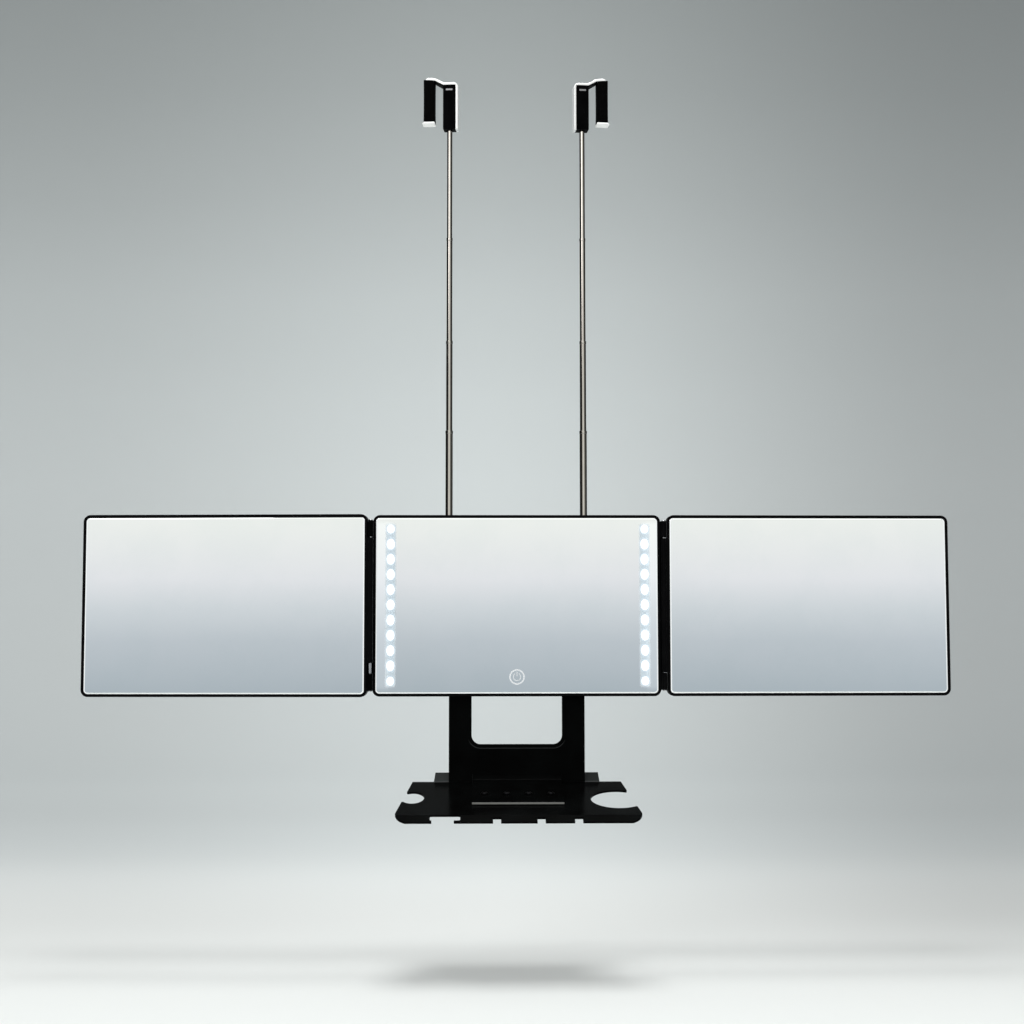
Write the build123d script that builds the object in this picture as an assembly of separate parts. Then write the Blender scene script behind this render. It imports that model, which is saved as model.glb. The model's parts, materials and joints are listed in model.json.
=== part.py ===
"""Trifold vanity mirror that hangs from two hooks on telescopic rods.

Three framed mirror panels are joined by pinned knuckle hinges. The middle panel
carries two columns of lights, a touch button, a battery and a charging port. A
sheet-metal bracket hangs on four pegs behind it and holds a tool tray.

Millimetres. Origin: centre of the middle panel's flat back face. +X is to the
viewer's right, +Y points away from the viewer, +Z is up.
"""
import os
from math import cos, hypot, radians, sin, tan

from build123d import *

# ---------------------------------------------------------------- panels
panel_height = 181.0
centre_width = 288.0
side_width = 285.2
panel_depth = 13.0
corner_radius = 7.0
rim_width = 2.5
front_edge_round = 0.7
back_edge_round = 1.6
glass_thickness = 2.0
glass_recess = 0.2
glass_clearance = 0.1
glass_bevel_width = 1.6
glass_bevel_depth = 0.5
tape_thickness = 0.4
tape_width = 3.0
ledge_width = 4.5
ledge_thickness = 1.6
cover_thickness = 2.2
cover_clearance = 0.15
cover_edge_chamfer = 0.4
cover_field_margin = 17.0
cover_field_depth = 0.4
cover_field_radius = 9.0

# ---------------------------------------------------------------- cover screws and bosses
boss_radius = 3.2
boss_inset = 3.6
cover_screw_radius = 1.1
cover_screw_head_radius = 2.2
cover_screw_length = 7.0
screw_clearance = 0.1
centre_boss_pitch = 120.0

# ---------------------------------------------------------------- panel hinges
hinge_length = 168.4
right_hinge_gap = 6.5
left_hinge_gap = 4.5
fold_gap = 0.6
top_knuckle_length = 16.2
bottom_knuckle_length = 17.0
knuckle_gap = 0.9
pin_radius = 1.25
pin_clearance = 0.05
pin_head_radius = 1.9
pin_head_height = 1.0
right_barrel_radius = 2.9
left_barrel_radius = 2.6
left_axis_inset = 1.4
left_pin_window = 10.3
web_thickness = 3.0
light_lip_thickness = 1.5
light_lip_gap = 0.7
light_lip_clearance = 1.6
left_swing_back = 3.0
right_swing_back = 1.0
post_thickness = 2.0
post_running_gap = 1.5
post_flange_thickness = 2.0
post_flange_gap = 1.0
post_screw_pitch = 62.0
post_screw_depth = 6.0

# ---------------------------------------------------------------- lights
light_inset = 17.2
light_count = 11
light_end_margin = 14.65
diffuser_width = 13.0
diffuser_end_margin = 8.5
diffuser_thickness = 2.0
strip_board_width = 9.0
strip_board_end_margin = 9.5
strip_board_thickness = 1.0
light_chip_width = 3.5
light_chip_height = 3.0
light_chip_thickness = 0.9
light_chip_gap = 0.5
board_rail_width = 1.4
board_rail_spacing = 5.0
board_rail_end_margin = 16.5

# ---------------------------------------------------------------- touch button, board, battery, port
touch_margin = 19.3
touch_ring_radius = 8.2
touch_ring_wall = 2.0
touch_pad_radius = 4.6
board_width = 64.0
board_height = 26.0
board_thickness = 1.2
board_standoff = 1.8
board_bottom_margin = 7.5
standoff_radius = 2.0
component_height = 1.0
component_places = [(-18.0, 6.0, 7.0, 7.0), (-24.0, -6.0, 5.0, 4.0), (14.0, 6.0, 5.0, 5.0),
                    (24.0, 6.0, 3.2, 1.6)]
battery_width = 90.0
battery_height = 56.0
battery_thickness = 5.0
battery_clearance = 39.0
port_offset = 22.0
port_width = 8.94
port_thickness = 3.26
port_length = 7.4
port_wall = 0.3
port_tongue_width = 6.7
port_tongue_thickness = 0.7
port_clearance = 0.35
port_inset = 0.2
lead_radius = 0.7
lead_spacing = 3.5
battery_lead_offset = 20.0
battery_lead_step = 7.0
battery_lead_run = 11.0
light_lead_drop = 2.0
light_lead_rise = 6.0
light_lead_run = 18.0

# ---------------------------------------------------------------- telescopic rods
rod_spacing = 137.3
rod_setback = 15.0
rod_pivot_margin = 40.5
tube_radii = [3.7, 3.25, 2.95]
tube_walls = [0.4, 0.25, 0.2]
tube_shows = [128.9, 93.0, 107.4]
tip_shows = 113.5
tube_overlap = 14.0
tip_overlap = 12.0
slide_clearance = 0.05
collar_height = 3.0
collar_rise = 0.25
tip_radius = 2.7
eye_width = 7.8
eye_radius = 3.9
eye_plug_length = 8.0
tube_start = 6.0
pivot_pin_radius = 1.5
pivot_pin_head = 2.6
pivot_pin_head_height = 1.2
clevis_slot = 8.2
clevis_ear = 3.0
clevis_base_width = 20.0
clevis_base_height = 28.0
clevis_base_depth = 3.0
clevis_screw_pitch = 20.0
clevis_screw_radius = 1.5
clevis_screw_head_radius = 2.9
clevis_screw_length = 8.6

# ---------------------------------------------------------------- hooks
hook_depth = 12.5
hook_yaw = 6.0
block_width = 12.9
block_height = 46.8
door_gap = 8.8
sleeve_width = 11.6
sleeve_skin = 0.9
sleeve_rise = 8.2
block_edge = 0.9
sleeve_edge = 1.6
strap_thickness = 2.6
strap_bend = 2.0
web_gap_rise = 4.8
web_sleeve_rise = 1.3
strap_depth = 10.9
hook_fit = 0.05
foot_overhang = 1.4
foot_thickness = 2.0
foot_socket_wall = 0.8
foot_lip = 0.9
gusset_drop = 1.2
gusset_edge = 0.8
clip_width = 6.8
clip_thickness = 1.7
clip_drop = 4.2
clip_reach = 3.0
rod_groove_radius = 1.8
rod_head_length = 2.0

# ---------------------------------------------------------------- bracket plate
bracket_width = 136.2
bracket_overlap = 50.5
bracket_drop = 136.2
bracket_gap = 1.0
plate_thickness = 2.5
plate_corner = 5.0
window_width = 90.6
crossbar_height = 20.0
sill_height = 37.6
window_corner = 9.0
bead_width = 4.0
bead_height = 0.6
plate_foot_gap = 0.3
tongue_width = 88.6
tongue_length = 69.5
tongue_bend = 6.0
tongue_root = 1.2
tongue_relief = 0.3
seat_gap = 0.05
peg_drops = [10.0, 32.0]
peg_radius = 2.5
peg_head_radius = 4.4
peg_head_height = 2.0
peg_shank_radius = 1.5
peg_shank_length = 6.0
peg_play = 0.1
lift_travel = 12.0
anchor_boss_radius = 4.0
anchor_boss_depth = 4.3

# ---------------------------------------------------------------- tray
tray_slope = 13.0
tray_thickness = 2.0
tray_back_half = 104.3
tray_side_taper = 0.134
tray_depth = 98.0
apron_length = 11.0
apron_slope = 28.0
tray_bend = 2.0
tray_corner = 15.0
flange_lean = 30.0
flange_length = 10.3
flange_bottom_half = 83.0
flange_top_half = 81.0
ring_radius = 26.3
ring_offset = 97.0
ring_distance = 52.7
lip_round = 1.2
notch_offset = 102.3
notch_half_width = 11.5
notch_half_depth = 17.2
notch_distance = 47.5
t_slot_left = -83.7
t_slot_right = -55.1
t_slot_back = 97.1
t_slot_depth = 9.0
t_mouth_left = -82.0
t_mouth_right = -61.0
comb_notch_width = 7.5
comb_notch_back = 101.5
comb_notch_places = [-20.5, 21.2, 56.4]
tray_screw_distance = 45.0
tray_screw_pitch = 21.6
tray_screw_count = 4
tray_screw_radius = 2.0
tray_screw_head_radius = 3.8
tray_screw_head_height = 2.2
nut_across_flats = 7.0
nut_thickness = 3.2

# ---------------------------------------------------------------- derived places
glass_height = panel_height - 2 * rim_width
pocket_radius = corner_radius - rim_width
glass_front = -panel_depth + glass_recess
glass_back = glass_front + glass_thickness
ledge_front = glass_back + tape_thickness
ledge_back = ledge_front + ledge_thickness
cover_front = -cover_thickness

right_axis_x = centre_width / 2 + right_hinge_gap / 2
right_axis_y = -panel_depth - fold_gap / 2
left_axis_x = -centre_width / 2 - left_axis_inset
left_axis_y = right_axis_y - panel_depth - fold_gap
left_panel_shift = -panel_depth - fold_gap
side_centres = {-1: centre_width / 2 + left_hinge_gap + side_width / 2,
                1: centre_width / 2 + right_hinge_gap + side_width / 2}
hinge_top = hinge_length / 2
hinge_bottom = -hinge_length / 2
barrel_top = hinge_top - top_knuckle_length - knuckle_gap
bottom_knuckle_top = hinge_bottom + bottom_knuckle_length

light_offset = centre_width / 2 - light_inset
light_pitch = (panel_height - 2 * light_end_margin) / (light_count - 1)
diffuser_height = panel_height - 2 * diffuser_end_margin
strip_board_height = panel_height - 2 * strip_board_end_margin
touch_height = -panel_height / 2 + touch_margin
board_centre_height = -panel_height / 2 + board_bottom_margin + board_height / 2
battery_centre_height = board_centre_height + board_height / 2 + battery_clearance \
    + battery_height / 2

rod_x = rod_spacing / 2
rod_pivot_height = panel_height / 2 - rod_pivot_margin
tube_tops = [rod_pivot_height + sum(tube_shows[:stage + 1]) for stage in range(len(tube_shows))]
hook_bottom = tube_tops[-1] + tip_shows

bracket_top = -panel_height / 2 + bracket_overlap
tray_fold_height = bracket_top - bracket_drop
window_top = bracket_top - crossbar_height
window_bottom = tray_fold_height + sill_height
plate_front = bracket_gap
plate_back = bracket_gap + plate_thickness
peg_heights = [bracket_top - drop for drop in peg_drops]
peg_x = (bracket_width + window_width) / 4


# ---------------------------------------------------------------- shape helpers
def block(x0, x1, y0, y1, z0, z1):
    """Box between two corners."""
    size = (x1 - x0, y1 - y0, z1 - z0)
    return Pos((x0 + x1) / 2, (y0 + y1) / 2, (z0 + z1) / 2) * Box(*size)


def face_plane(y):
    """Plane whose sketch x and y are +X and +Z; extrusion goes towards the viewer."""
    return Plane.XZ.offset(-y)


def slab(width, height, radius, front, back, x=0.0, z=0.0):
    """Rounded rectangle seen from the front, solid from y=front to y=back."""
    outline = RectangleRounded(width, height, radius)
    return extrude(face_plane(back) * Pos(x, z) * outline, back - front)


def disc(x, z, radius, front, back):
    """Cylinder along Y."""
    return extrude(face_plane(back) * Pos(x, z) * Circle(radius), back - front)


def column(x, y, bottom, top, radius):
    """Cylinder along Z."""
    return extrude(Plane.XY.offset(bottom) * Pos(x, y) * Circle(radius), top - bottom)


def cross_pin(x0, x1, y, z, radius):
    """Cylinder along X."""
    return extrude(Plane.YZ.offset(x0) * Pos(y, z) * Circle(radius), x1 - x0)


def countersunk_screw(radius, head_radius, length):
    """Flat-head screw along -Y with its head flush with y=0."""
    rise = head_radius - radius
    outline = Polyline(
        (0, 0), (head_radius, 0), (radius, -rise), (radius, -length), (0, -length), close=True
    )
    return revolve(make_face(outline), Axis.Y)


def countersink(radius, head_radius, depth):
    """Matching hole for countersunk_screw, through a wall whose face is y=0."""
    seat = head_radius + screw_clearance
    hole = radius + screw_clearance
    outline = Polyline(
        (0, 1), (seat, 1), (seat, 0), (hole, hole - seat), (hole, -depth), (0, -depth), close=True
    )
    return revolve(make_face(outline), Axis.Y)


def offset_line(points, distance):
    """Polyline shifted sideways to the left of its direction, with mitred corners."""
    normals = []
    for (ax, ay), (bx, by) in zip(points, points[1:]):
        run = hypot(bx - ax, by - ay)
        normals.append((-(by - ay) / run, (bx - ax) / run))
    shifted = []
    for index, (px, py) in enumerate(points):
        before = normals[max(index - 1, 0)]
        after = normals[min(index, len(normals) - 1)]
        scale = distance / (1 + before[0] * after[0] + before[1] * after[1])
        shifted.append((px + (before[0] + after[0]) * scale, py + (before[1] + after[1]) * scale))
    return shifted


def strip_section(points, thickness, bend):
    """Section of a bent strip: one face follows points, the other lies to their left."""
    near, far = [], []
    for (ax, ay), (bx, by), (cx, cy) in zip(points, points[1:], points[2:]):
        turns_left = (bx - ax) * (cy - by) - (by - ay) * (cx - bx) > 0
        near.append(bend + thickness if turns_left else bend)
        far.append(bend if turns_left else bend + thickness)
    other = offset_line(points, thickness)
    edges = list(FilletPolyline(*points, radius=near).edges())
    edges += list(FilletPolyline(*other, radius=far).edges())
    edges += [Edge.make_line(a, b) for a, b in ((points[0], other[0]), (points[-1], other[-1]))]
    return make_face(edges)


def mirrored(shape):
    """The same piece on the viewer's right."""
    return mirror(shape, about=Plane.YZ)


# ---------------------------------------------------------------- framed panels
def boss_places(width, middle_pitch):
    """Corner bosses and two more along the top and bottom, as (x, z)."""
    corner_x = width / 2 - rim_width - boss_inset
    edge_z = glass_height / 2 - boss_inset
    return [(x, z) for x in (-corner_x, -middle_pitch / 2, middle_pitch / 2, corner_x)
            for z in (-edge_z, edge_z)]


def panel_frame(width, bosses):
    """Moulded frame: outer wall, glass pocket, ledge behind the glass and screw bosses."""
    pocket_width = width - 2 * rim_width
    body = slab(width, panel_height, corner_radius, -panel_depth, 0)
    front_edges = body.faces().sort_by(Axis.Y)[0].edges()
    body = fillet(front_edges, front_edge_round)
    back_edges = body.faces().sort_by(Axis.Y)[-1].edges()
    body = fillet(back_edges, back_edge_round)
    body -= slab(pocket_width, glass_height, pocket_radius, -panel_depth - 1, ledge_front)
    body -= slab(pocket_width - 2 * ledge_width, glass_height - 2 * ledge_width,
                 pocket_radius, ledge_front - 1, ledge_back + 1)
    body -= slab(pocket_width, glass_height, pocket_radius, ledge_back, 1)
    for x, z in bosses:
        body += disc(x, z, boss_radius, ledge_front, cover_front)
    for x, z in bosses:
        body -= disc(x, z, cover_screw_radius + screw_clearance, cover_front - cover_screw_length, 0)
    return body


def panel_glass(width):
    """Mirror glass with a wide shallow bevel ground round its front edge."""
    pane_width = width - 2 * (rim_width + glass_clearance)
    pane_height = glass_height - 2 * glass_clearance
    radius = pocket_radius - glass_clearance
    shoulder = glass_front + glass_bevel_depth
    flat = RectangleRounded(pane_width - 2 * glass_bevel_width,
                            pane_height - 2 * glass_bevel_width, radius - glass_bevel_width)
    full = RectangleRounded(pane_width, pane_height, radius)
    bevel = loft([face_plane(shoulder) * full, face_plane(glass_front) * flat])
    return bevel + slab(pane_width, pane_height, radius, shoulder, glass_back)


def glass_tape(width):
    """Double-sided tape frame between the glass and the ledge."""
    outer_width = width - 2 * (rim_width + glass_clearance)
    outer_height = glass_height - 2 * glass_clearance
    ring = slab(outer_width, outer_height, pocket_radius - glass_clearance, glass_back, ledge_front)
    return ring - slab(outer_width - 2 * tape_width, outer_height - 2 * tape_width,
                       pocket_radius - glass_clearance, glass_back - 1, ledge_front + 1)


def back_cover(width, bosses, field):
    """Flat cover let into the back of the frame, with countersunk holes."""
    cover_width = width - 2 * (rim_width + cover_clearance)
    cover_height = glass_height - 2 * cover_clearance
    cover = slab(cover_width, cover_height, pocket_radius - cover_clearance, cover_front, 0)
    cover = chamfer(cover.faces().sort_by(Axis.Y)[-1].edges(), cover_edge_chamfer)
    if field:
        cover -= slab(cover_width - 2 * cover_field_margin, cover_height - 2 * cover_field_margin,
                      cover_field_radius, -cover_field_depth, 1)
    for x, z in bosses:
        cover -= Pos(x, 0, z) * countersink(
            cover_screw_radius, cover_screw_head_radius, cover_thickness + 1)
    return cover


def cover_screws(bosses):
    """The countersunk screws of one cover."""
    return [Pos(x, 0, z) * countersunk_screw(
        cover_screw_radius, cover_screw_head_radius, cover_screw_length) for x, z in bosses]


def knuckle(x, y, bottom, top, radius, wall_x, web_front):
    """Hinge barrel along Z, joined to a side wall by a flat web and bored for the pin."""
    near, far = sorted((x, wall_x))
    solid = column(x, y, bottom, top, radius)
    solid += block(near, far, web_front, web_front + web_thickness, bottom, top)
    return solid - column(x, y, bottom - 1, top + 1, pin_radius + pin_clearance)


def hinge_pin(x, y):
    """Hinge pin with a head above the top knuckle and a peened end below."""
    shaft = column(x, y, hinge_bottom - pin_head_height, hinge_top, pin_radius)
    head = column(x, y, hinge_top, hinge_top + pin_head_height, pin_head_radius)
    foot = column(x, y, hinge_bottom - pin_head_height, hinge_bottom, pin_head_radius)
    return shaft + head + foot


# ---------------------------------------------------------------- middle panel
centre_bosses = boss_places(centre_width, centre_boss_pitch)
side_bosses = boss_places(side_width, centre_boss_pitch)
wall_x = centre_width / 2
post_screw_heights = [-post_screw_pitch, 0.0, post_screw_pitch]
post_screw_y = -panel_depth / 2
board_back = cover_front - board_standoff
board_front = board_back - board_thickness
port_y = board_front - port_thickness / 2
port_bottom = -panel_height / 2 + port_inset
diffuser_back = glass_back + diffuser_thickness
chip_front = diffuser_back + light_chip_gap
strip_front = chip_front + light_chip_thickness
strip_back = strip_front + strip_board_thickness
light_heights = [(i - (light_count - 1) / 2) * light_pitch for i in range(light_count)]
rail_half = panel_height / 2 - board_rail_end_margin


def port_outline(width, thickness):
    """Stadium section of the charging port, in the XY plane."""
    return RectangleRounded(width, thickness, thickness / 2 - 0.01)


def sideways_screw(x, y, z, depth, side):
    """Countersunk screw driven along X into the wall; side is the way its head faces."""
    screw = countersunk_screw(cover_screw_radius, cover_screw_head_radius, depth)
    return Pos(x, y, z) * Rot(0, 0, -90 * side) * screw


def centre_frame():
    """Frame of the middle panel, with the right hinge's end knuckles, a lip that keeps light out behind
    its barrel, and the port's mouth.
    """
    body = panel_frame(centre_width, centre_bosses)
    for bottom, top in ((hinge_bottom, bottom_knuckle_top),
                        (hinge_top - top_knuckle_length, hinge_top)):
        body += knuckle(right_axis_x, right_axis_y, bottom, top, right_barrel_radius,
                        wall_x - rim_width / 2, -panel_depth)
    lip_front = web_thickness - panel_depth + light_lip_gap
    body += block(wall_x - rim_width / 2, wall_x + right_hinge_gap - light_lip_clearance,
                  lip_front, lip_front + light_lip_thickness, hinge_bottom, hinge_top)
    mouth = port_outline(port_width + 2 * port_clearance, port_thickness + 2 * port_clearance)
    body -= extrude(Plane.XY.offset(-panel_height / 2 - 1) * Pos(port_offset, port_y) * mouth,
                    rim_width + 1.5)
    for z in post_screw_heights:
        body -= cross_pin(-wall_x - 1, -wall_x + rim_width + 1, post_screw_y, z,
                          cover_screw_radius + screw_clearance)
    return body


def centre_cover():
    """Back cover of the middle panel with rails, standoffs and bosses inside."""
    cover = back_cover(centre_width, centre_bosses, field=False)
    for side in (-1, 1):
        for step in (-0.5, 0.5):
            x = side * light_offset + step * board_rail_spacing
            cover += block(x - board_rail_width / 2, x + board_rail_width / 2,
                           strip_back, cover_front, -rail_half, rail_half)
    for x, z in standoff_places():
        cover += disc(x, z, standoff_radius, board_back, cover_front)
    for x, z in peg_places() + clevis_screw_places():
        cover += disc(x, z, anchor_boss_radius, cover_front - anchor_boss_depth, cover_front)
    for x, z in peg_places():
        cover -= disc(x, z, peg_shank_radius + pin_clearance, cover_front - anchor_boss_depth - 1, 1)
    for x, z in clevis_screw_places():
        cover -= disc(x, z, clevis_screw_radius + pin_clearance,
                      cover_front - anchor_boss_depth - 1, 1)
    return cover


def standoff_places():
    """Four board posts, as (x, z)."""
    reach_x = board_width / 2 - 2 * standoff_radius
    reach_z = board_height / 2 - 2 * standoff_radius
    return [(sx * reach_x, board_centre_height + sz * reach_z) for sx in (-1, 1) for sz in (-1, 1)]


def peg_places():
    """Four bracket pegs, as (x, z)."""
    return [(side * peg_x, z) for side in (-1, 1) for z in peg_heights]


def clevis_screw_places():
    """Two screws under each rod, as (x, z)."""
    return [(side * rod_x, rod_pivot_height + step * clevis_screw_pitch / 2)
            for side in (-1, 1) for step in (-1, 1)]


def light_diffuser(side):
    """Frosted bar behind the clear stripe of the glass."""
    return slab(diffuser_width, diffuser_height, 2.0, glass_back, diffuser_back,
                x=side * light_offset)


def strip_board(side):
    """Narrow circuit board that carries one column of lights."""
    return slab(strip_board_width, strip_board_height, 1.0, strip_front, strip_back,
                x=side * light_offset)


def light_chips():
    """Surface-mounted lights on both boards."""
    half_w, half_h = light_chip_width / 2, light_chip_height / 2
    return [block(side * light_offset - half_w, side * light_offset + half_w,
                  chip_front, strip_front, z - half_h, z + half_h)
            for side in (-1, 1) for z in light_heights]


def control_board():
    """Main circuit board with its larger components."""
    board = slab(board_width, board_height, 1.5, board_front, board_back, z=board_centre_height)
    parts = [board]
    for x, rise, width, height in component_places:
        z = board_centre_height + rise
        parts.append(block(x - width / 2, x + width / 2, board_front - component_height,
                           board_front, z - height / 2, z + height / 2))
    return parts


def touch_ring():
    """Light guide that glows as a ring round the touch button."""
    outer = disc(0, touch_height, touch_ring_radius, glass_back, board_front)
    return outer - disc(0, touch_height, touch_ring_radius - touch_ring_wall,
                        glass_back - 1, board_front + 1)


def touch_pad():
    """Conductive foam that senses a finger through the glass."""
    return disc(0, touch_height, touch_pad_radius, glass_back, board_front)


def battery():
    """Flat rechargeable cell stuck to the cover."""
    return slab(battery_width, battery_height, 3.0, cover_front - battery_thickness, cover_front,
                z=battery_centre_height)


def charging_port():
    """Port shell with its contact tongue, open downwards."""
    place = Plane.XY.offset(port_bottom) * Pos(port_offset, port_y)
    shell = extrude(place * port_outline(port_width, port_thickness), port_length)
    hollow = port_outline(port_width - 2 * port_wall, port_thickness - 2 * port_wall)
    shell -= extrude(place * hollow, port_length - 1.0)
    tongue = Rectangle(port_tongue_width, port_tongue_thickness)
    return shell + extrude(place * Pos(0, 0, 1.0) * tongue, port_length - 1.5)


def lead(points):
    """Insulated wire: straight runs joined by tangent arcs."""
    radii = []
    for a, b, c in zip(points, points[1:], points[2:]):
        first, second = Vector(b) - Vector(a), Vector(c) - Vector(b)
        turn = first.get_angle(second)
        radii.append(0.45 * min(first.length, second.length) / tan(radians(turn / 2)))
    path = FilletPolyline(*points, radius=radii)
    start = Plane(origin=path @ 0, z_dir=path % 0)
    return sweep(start * Circle(lead_radius), path=path)


def internal_leads():
    """Wires from the board to the battery and to both light boards."""
    board_y = (board_front + board_back) / 2
    strip_y = (strip_front + strip_back) / 2
    board_top = board_centre_height + board_height / 2
    cell_bottom = battery_centre_height - battery_height / 2
    leads = []
    for x in (-battery_lead_offset, -battery_lead_offset + lead_spacing):
        leads.append(lead([
            (x, board_y, cell_bottom), (x, board_y, cell_bottom - battery_lead_run),
            (x + battery_lead_step, board_y, board_top + battery_lead_run),
            (x + battery_lead_step, board_y, board_top)]))
    low = board_centre_height + light_lead_drop
    high = low + light_lead_rise
    board_edge = board_width / 2
    strip_edge = light_offset - strip_board_width / 2
    for side in (-1, 1):
        leads.append(lead([
            (side * board_edge, board_y, low), (side * (board_edge + light_lead_run), board_y, low),
            (side * (strip_edge - light_lead_run), strip_y, high),
            (side * strip_edge, strip_y, high)]))
    return leads


# ---------------------------------------------------------------- left hinge post
post_outer = -wall_x - post_thickness
post_flange_front = left_panel_shift + post_flange_gap
post_flange_reach = side_centres[-1] - side_width / 2 - 0.2


def hinge_post():
    """Upright bracket that carries the left hinge forward of the middle panel."""
    plate_front_y = left_axis_y + left_barrel_radius + post_running_gap
    post = block(post_outer, -wall_x, plate_front_y, -back_edge_round, hinge_bottom, hinge_top)
    post += block(-post_flange_reach, post_outer, post_flange_front,
                  post_flange_front + post_flange_thickness, hinge_bottom, hinge_top)
    for bottom, top in ((hinge_bottom, bottom_knuckle_top),
                        (hinge_top - top_knuckle_length, hinge_top)):
        post += block(post_outer, -wall_x, left_axis_y, plate_front_y, bottom, top)
        post += column(left_axis_x, left_axis_y, bottom, top, left_barrel_radius)
        post -= column(left_axis_x, left_axis_y, bottom - 1, top + 1, pin_radius + pin_clearance)
    for z in post_screw_heights:
        sink = countersink(cover_screw_radius, cover_screw_head_radius, post_thickness + 1)
        post -= Pos(post_outer, post_screw_y, z) * Rot(0, 0, 90) * sink
    return post


def hinge_post_screws():
    """Screws from the post into the wall of the middle panel."""
    return [sideways_screw(post_outer, post_screw_y, z, post_screw_depth, -1)
            for z in post_screw_heights]


# ---------------------------------------------------------------- side panels
def side_frame(side):
    """Frame of a side panel, in place and closed flat, with its hinge barrel."""
    inner_wall = side * (side_centres[side] - side_width / 2)
    if side > 0:
        body = Pos(side_centres[1], 0, 0) * panel_frame(side_width, side_bosses)
        bottom = bottom_knuckle_top + knuckle_gap / 2
        body += knuckle(right_axis_x, right_axis_y, bottom, barrel_top, right_barrel_radius,
                        inner_wall + rim_width / 2, -panel_depth)
        return body
    body = Pos(-side_centres[-1], left_panel_shift, 0) * panel_frame(side_width, side_bosses)
    bottom = bottom_knuckle_top + left_pin_window
    body += knuckle(left_axis_x, left_axis_y, bottom, barrel_top, left_barrel_radius,
                    inner_wall - rim_width / 2, left_panel_shift - panel_depth)
    return body


def swing(side, shape):
    """Turn a side panel's piece about its hinge to where it stands open."""
    if side > 0:
        axis = Axis((right_axis_x, right_axis_y, 0), (0, 0, 1))
        return shape.rotate(axis, right_swing_back)
    axis = Axis((left_axis_x, left_axis_y, 0), (0, 0, 1))
    return shape.rotate(axis, -left_swing_back)


def side_place(side):
    """Where a side panel's own frame sits before it is swung."""
    return Pos(side * side_centres[side], left_panel_shift if side < 0 else 0.0, 0)


# ---------------------------------------------------------------- rods
pivot = (-rod_x, rod_setback, rod_pivot_height)


def rod_clevis():
    """Two-eared bracket on the cover that the rod folds in."""
    base = slab(clevis_base_width, clevis_base_height, 2.0, 0, clevis_base_depth,
                x=-rod_x, z=rod_pivot_height)
    ear_half = eye_radius + 0.5
    for side in (-1, 1):
        near = -rod_x + side * clevis_slot / 2
        x0, x1 = sorted((near, near + side * clevis_ear))
        ear = block(x0, x1, clevis_base_depth, rod_setback,
                    rod_pivot_height - ear_half, rod_pivot_height + ear_half)
        base += ear + cross_pin(x0, x1, rod_setback, rod_pivot_height, ear_half)
    base -= cross_pin(-rod_x - clevis_slot, -rod_x + clevis_slot, rod_setback,
                      rod_pivot_height, pivot_pin_radius + pin_clearance)
    for x, z in clevis_screw_places():
        if x < 0:
            base -= Pos(x, clevis_base_depth, z) * countersink(
                clevis_screw_radius, clevis_screw_head_radius, clevis_base_depth + 1)
    return base


def clevis_screws():
    """Screws that hold both rod brackets to the cover."""
    return [Pos(x, clevis_base_depth, z) * countersunk_screw(
        clevis_screw_radius, clevis_screw_head_radius, clevis_screw_length)
        for x, z in clevis_screw_places()]


def pivot_pin():
    """Headed cross pin of the rod's fold."""
    half = clevis_slot / 2 + clevis_ear
    shaft = cross_pin(-rod_x - half - pivot_pin_head_height, -rod_x + half, rod_setback,
                      rod_pivot_height, pivot_pin_radius)
    heads = [cross_pin(-rod_x + start, -rod_x + start + pivot_pin_head_height, rod_setback,
                       rod_pivot_height, pivot_pin_head)
             for start in (-half - pivot_pin_head_height, half)]
    return shaft + heads[0] + heads[1]


def rod_eye():
    """Plug in the foot of the lowest tube, with the cross hole of the fold."""
    plug_radius = tube_radii[0] - tube_walls[0]
    x, y, z = pivot
    eye = cross_pin(x - eye_width / 2, x + eye_width / 2, y, z, eye_radius)
    eye += column(x, y, z, z + tube_start, min(eye_width, 2 * eye_radius) / 2 - 0.4)
    eye += column(x, y, z + tube_start, z + tube_start + eye_plug_length, plug_radius)
    return eye - cross_pin(x - eye_width, x + eye_width, y, z, pivot_pin_radius + pin_clearance)


def tube_bottoms():
    """Lower end of each tube; all but the first reach into the tube below."""
    return [rod_pivot_height + tube_start] + [top - tube_overlap for top in tube_tops[:-1]]


def tube(stage):
    """One telescopic tube with the rolled collar at its mouth."""
    bottom, top = tube_bottoms()[stage], tube_tops[stage]
    outer = tube_radii[stage]
    inner = outer - tube_walls[stage]
    body = column(-rod_x, rod_setback, bottom, top, outer)
    collar = column(-rod_x, rod_setback, top - collar_height, top, outer + collar_rise)
    body += chamfer(collar.edges(), collar_rise * 0.6)
    return body - column(-rod_x, rod_setback, bottom - 1, top + 1, inner)


def rod_tip():
    """Solid top rod with a groove and head that turn inside the hook."""
    groove_top = clip_height() + clip_thickness / 2 + slide_clearance
    groove_bottom = clip_height() - clip_thickness / 2 - slide_clearance
    x, y = -rod_x, rod_setback
    bottom = tube_tops[-1] - tip_overlap
    rod = column(x, y, bottom, groove_bottom, tip_radius)
    rod += column(x, y, groove_bottom, groove_top, rod_groove_radius)
    return rod + column(x, y, groove_top, groove_top + rod_head_length, tip_radius)


# ---------------------------------------------------------------- hooks (left one, in place)
block_half = block_width / 2
sleeve_inner = -block_half - door_gap
sleeve_bottom = hook_bottom + sleeve_rise
sleeve_outer = sleeve_inner - sleeve_width
block_top = hook_bottom + block_height
strap_outer = sleeve_outer + sleeve_skin


def clip_height():
    """Level of the spring clip that keeps the rod in the block."""
    return block_top - clip_drop - clip_thickness / 2


def web_underside(x):
    """Height of the strap's lower face above a point x: it climbs between the limbs and over the sleeve."""
    over_gap = min(max((-block_half - x) / door_gap, 0.0), 1.0)
    over_sleeve = min(max((sleeve_inner - x) / sleeve_width, 0.0), 1.0)
    return block_top + web_gap_rise * over_gap + web_sleeve_rise * over_sleeve


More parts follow.
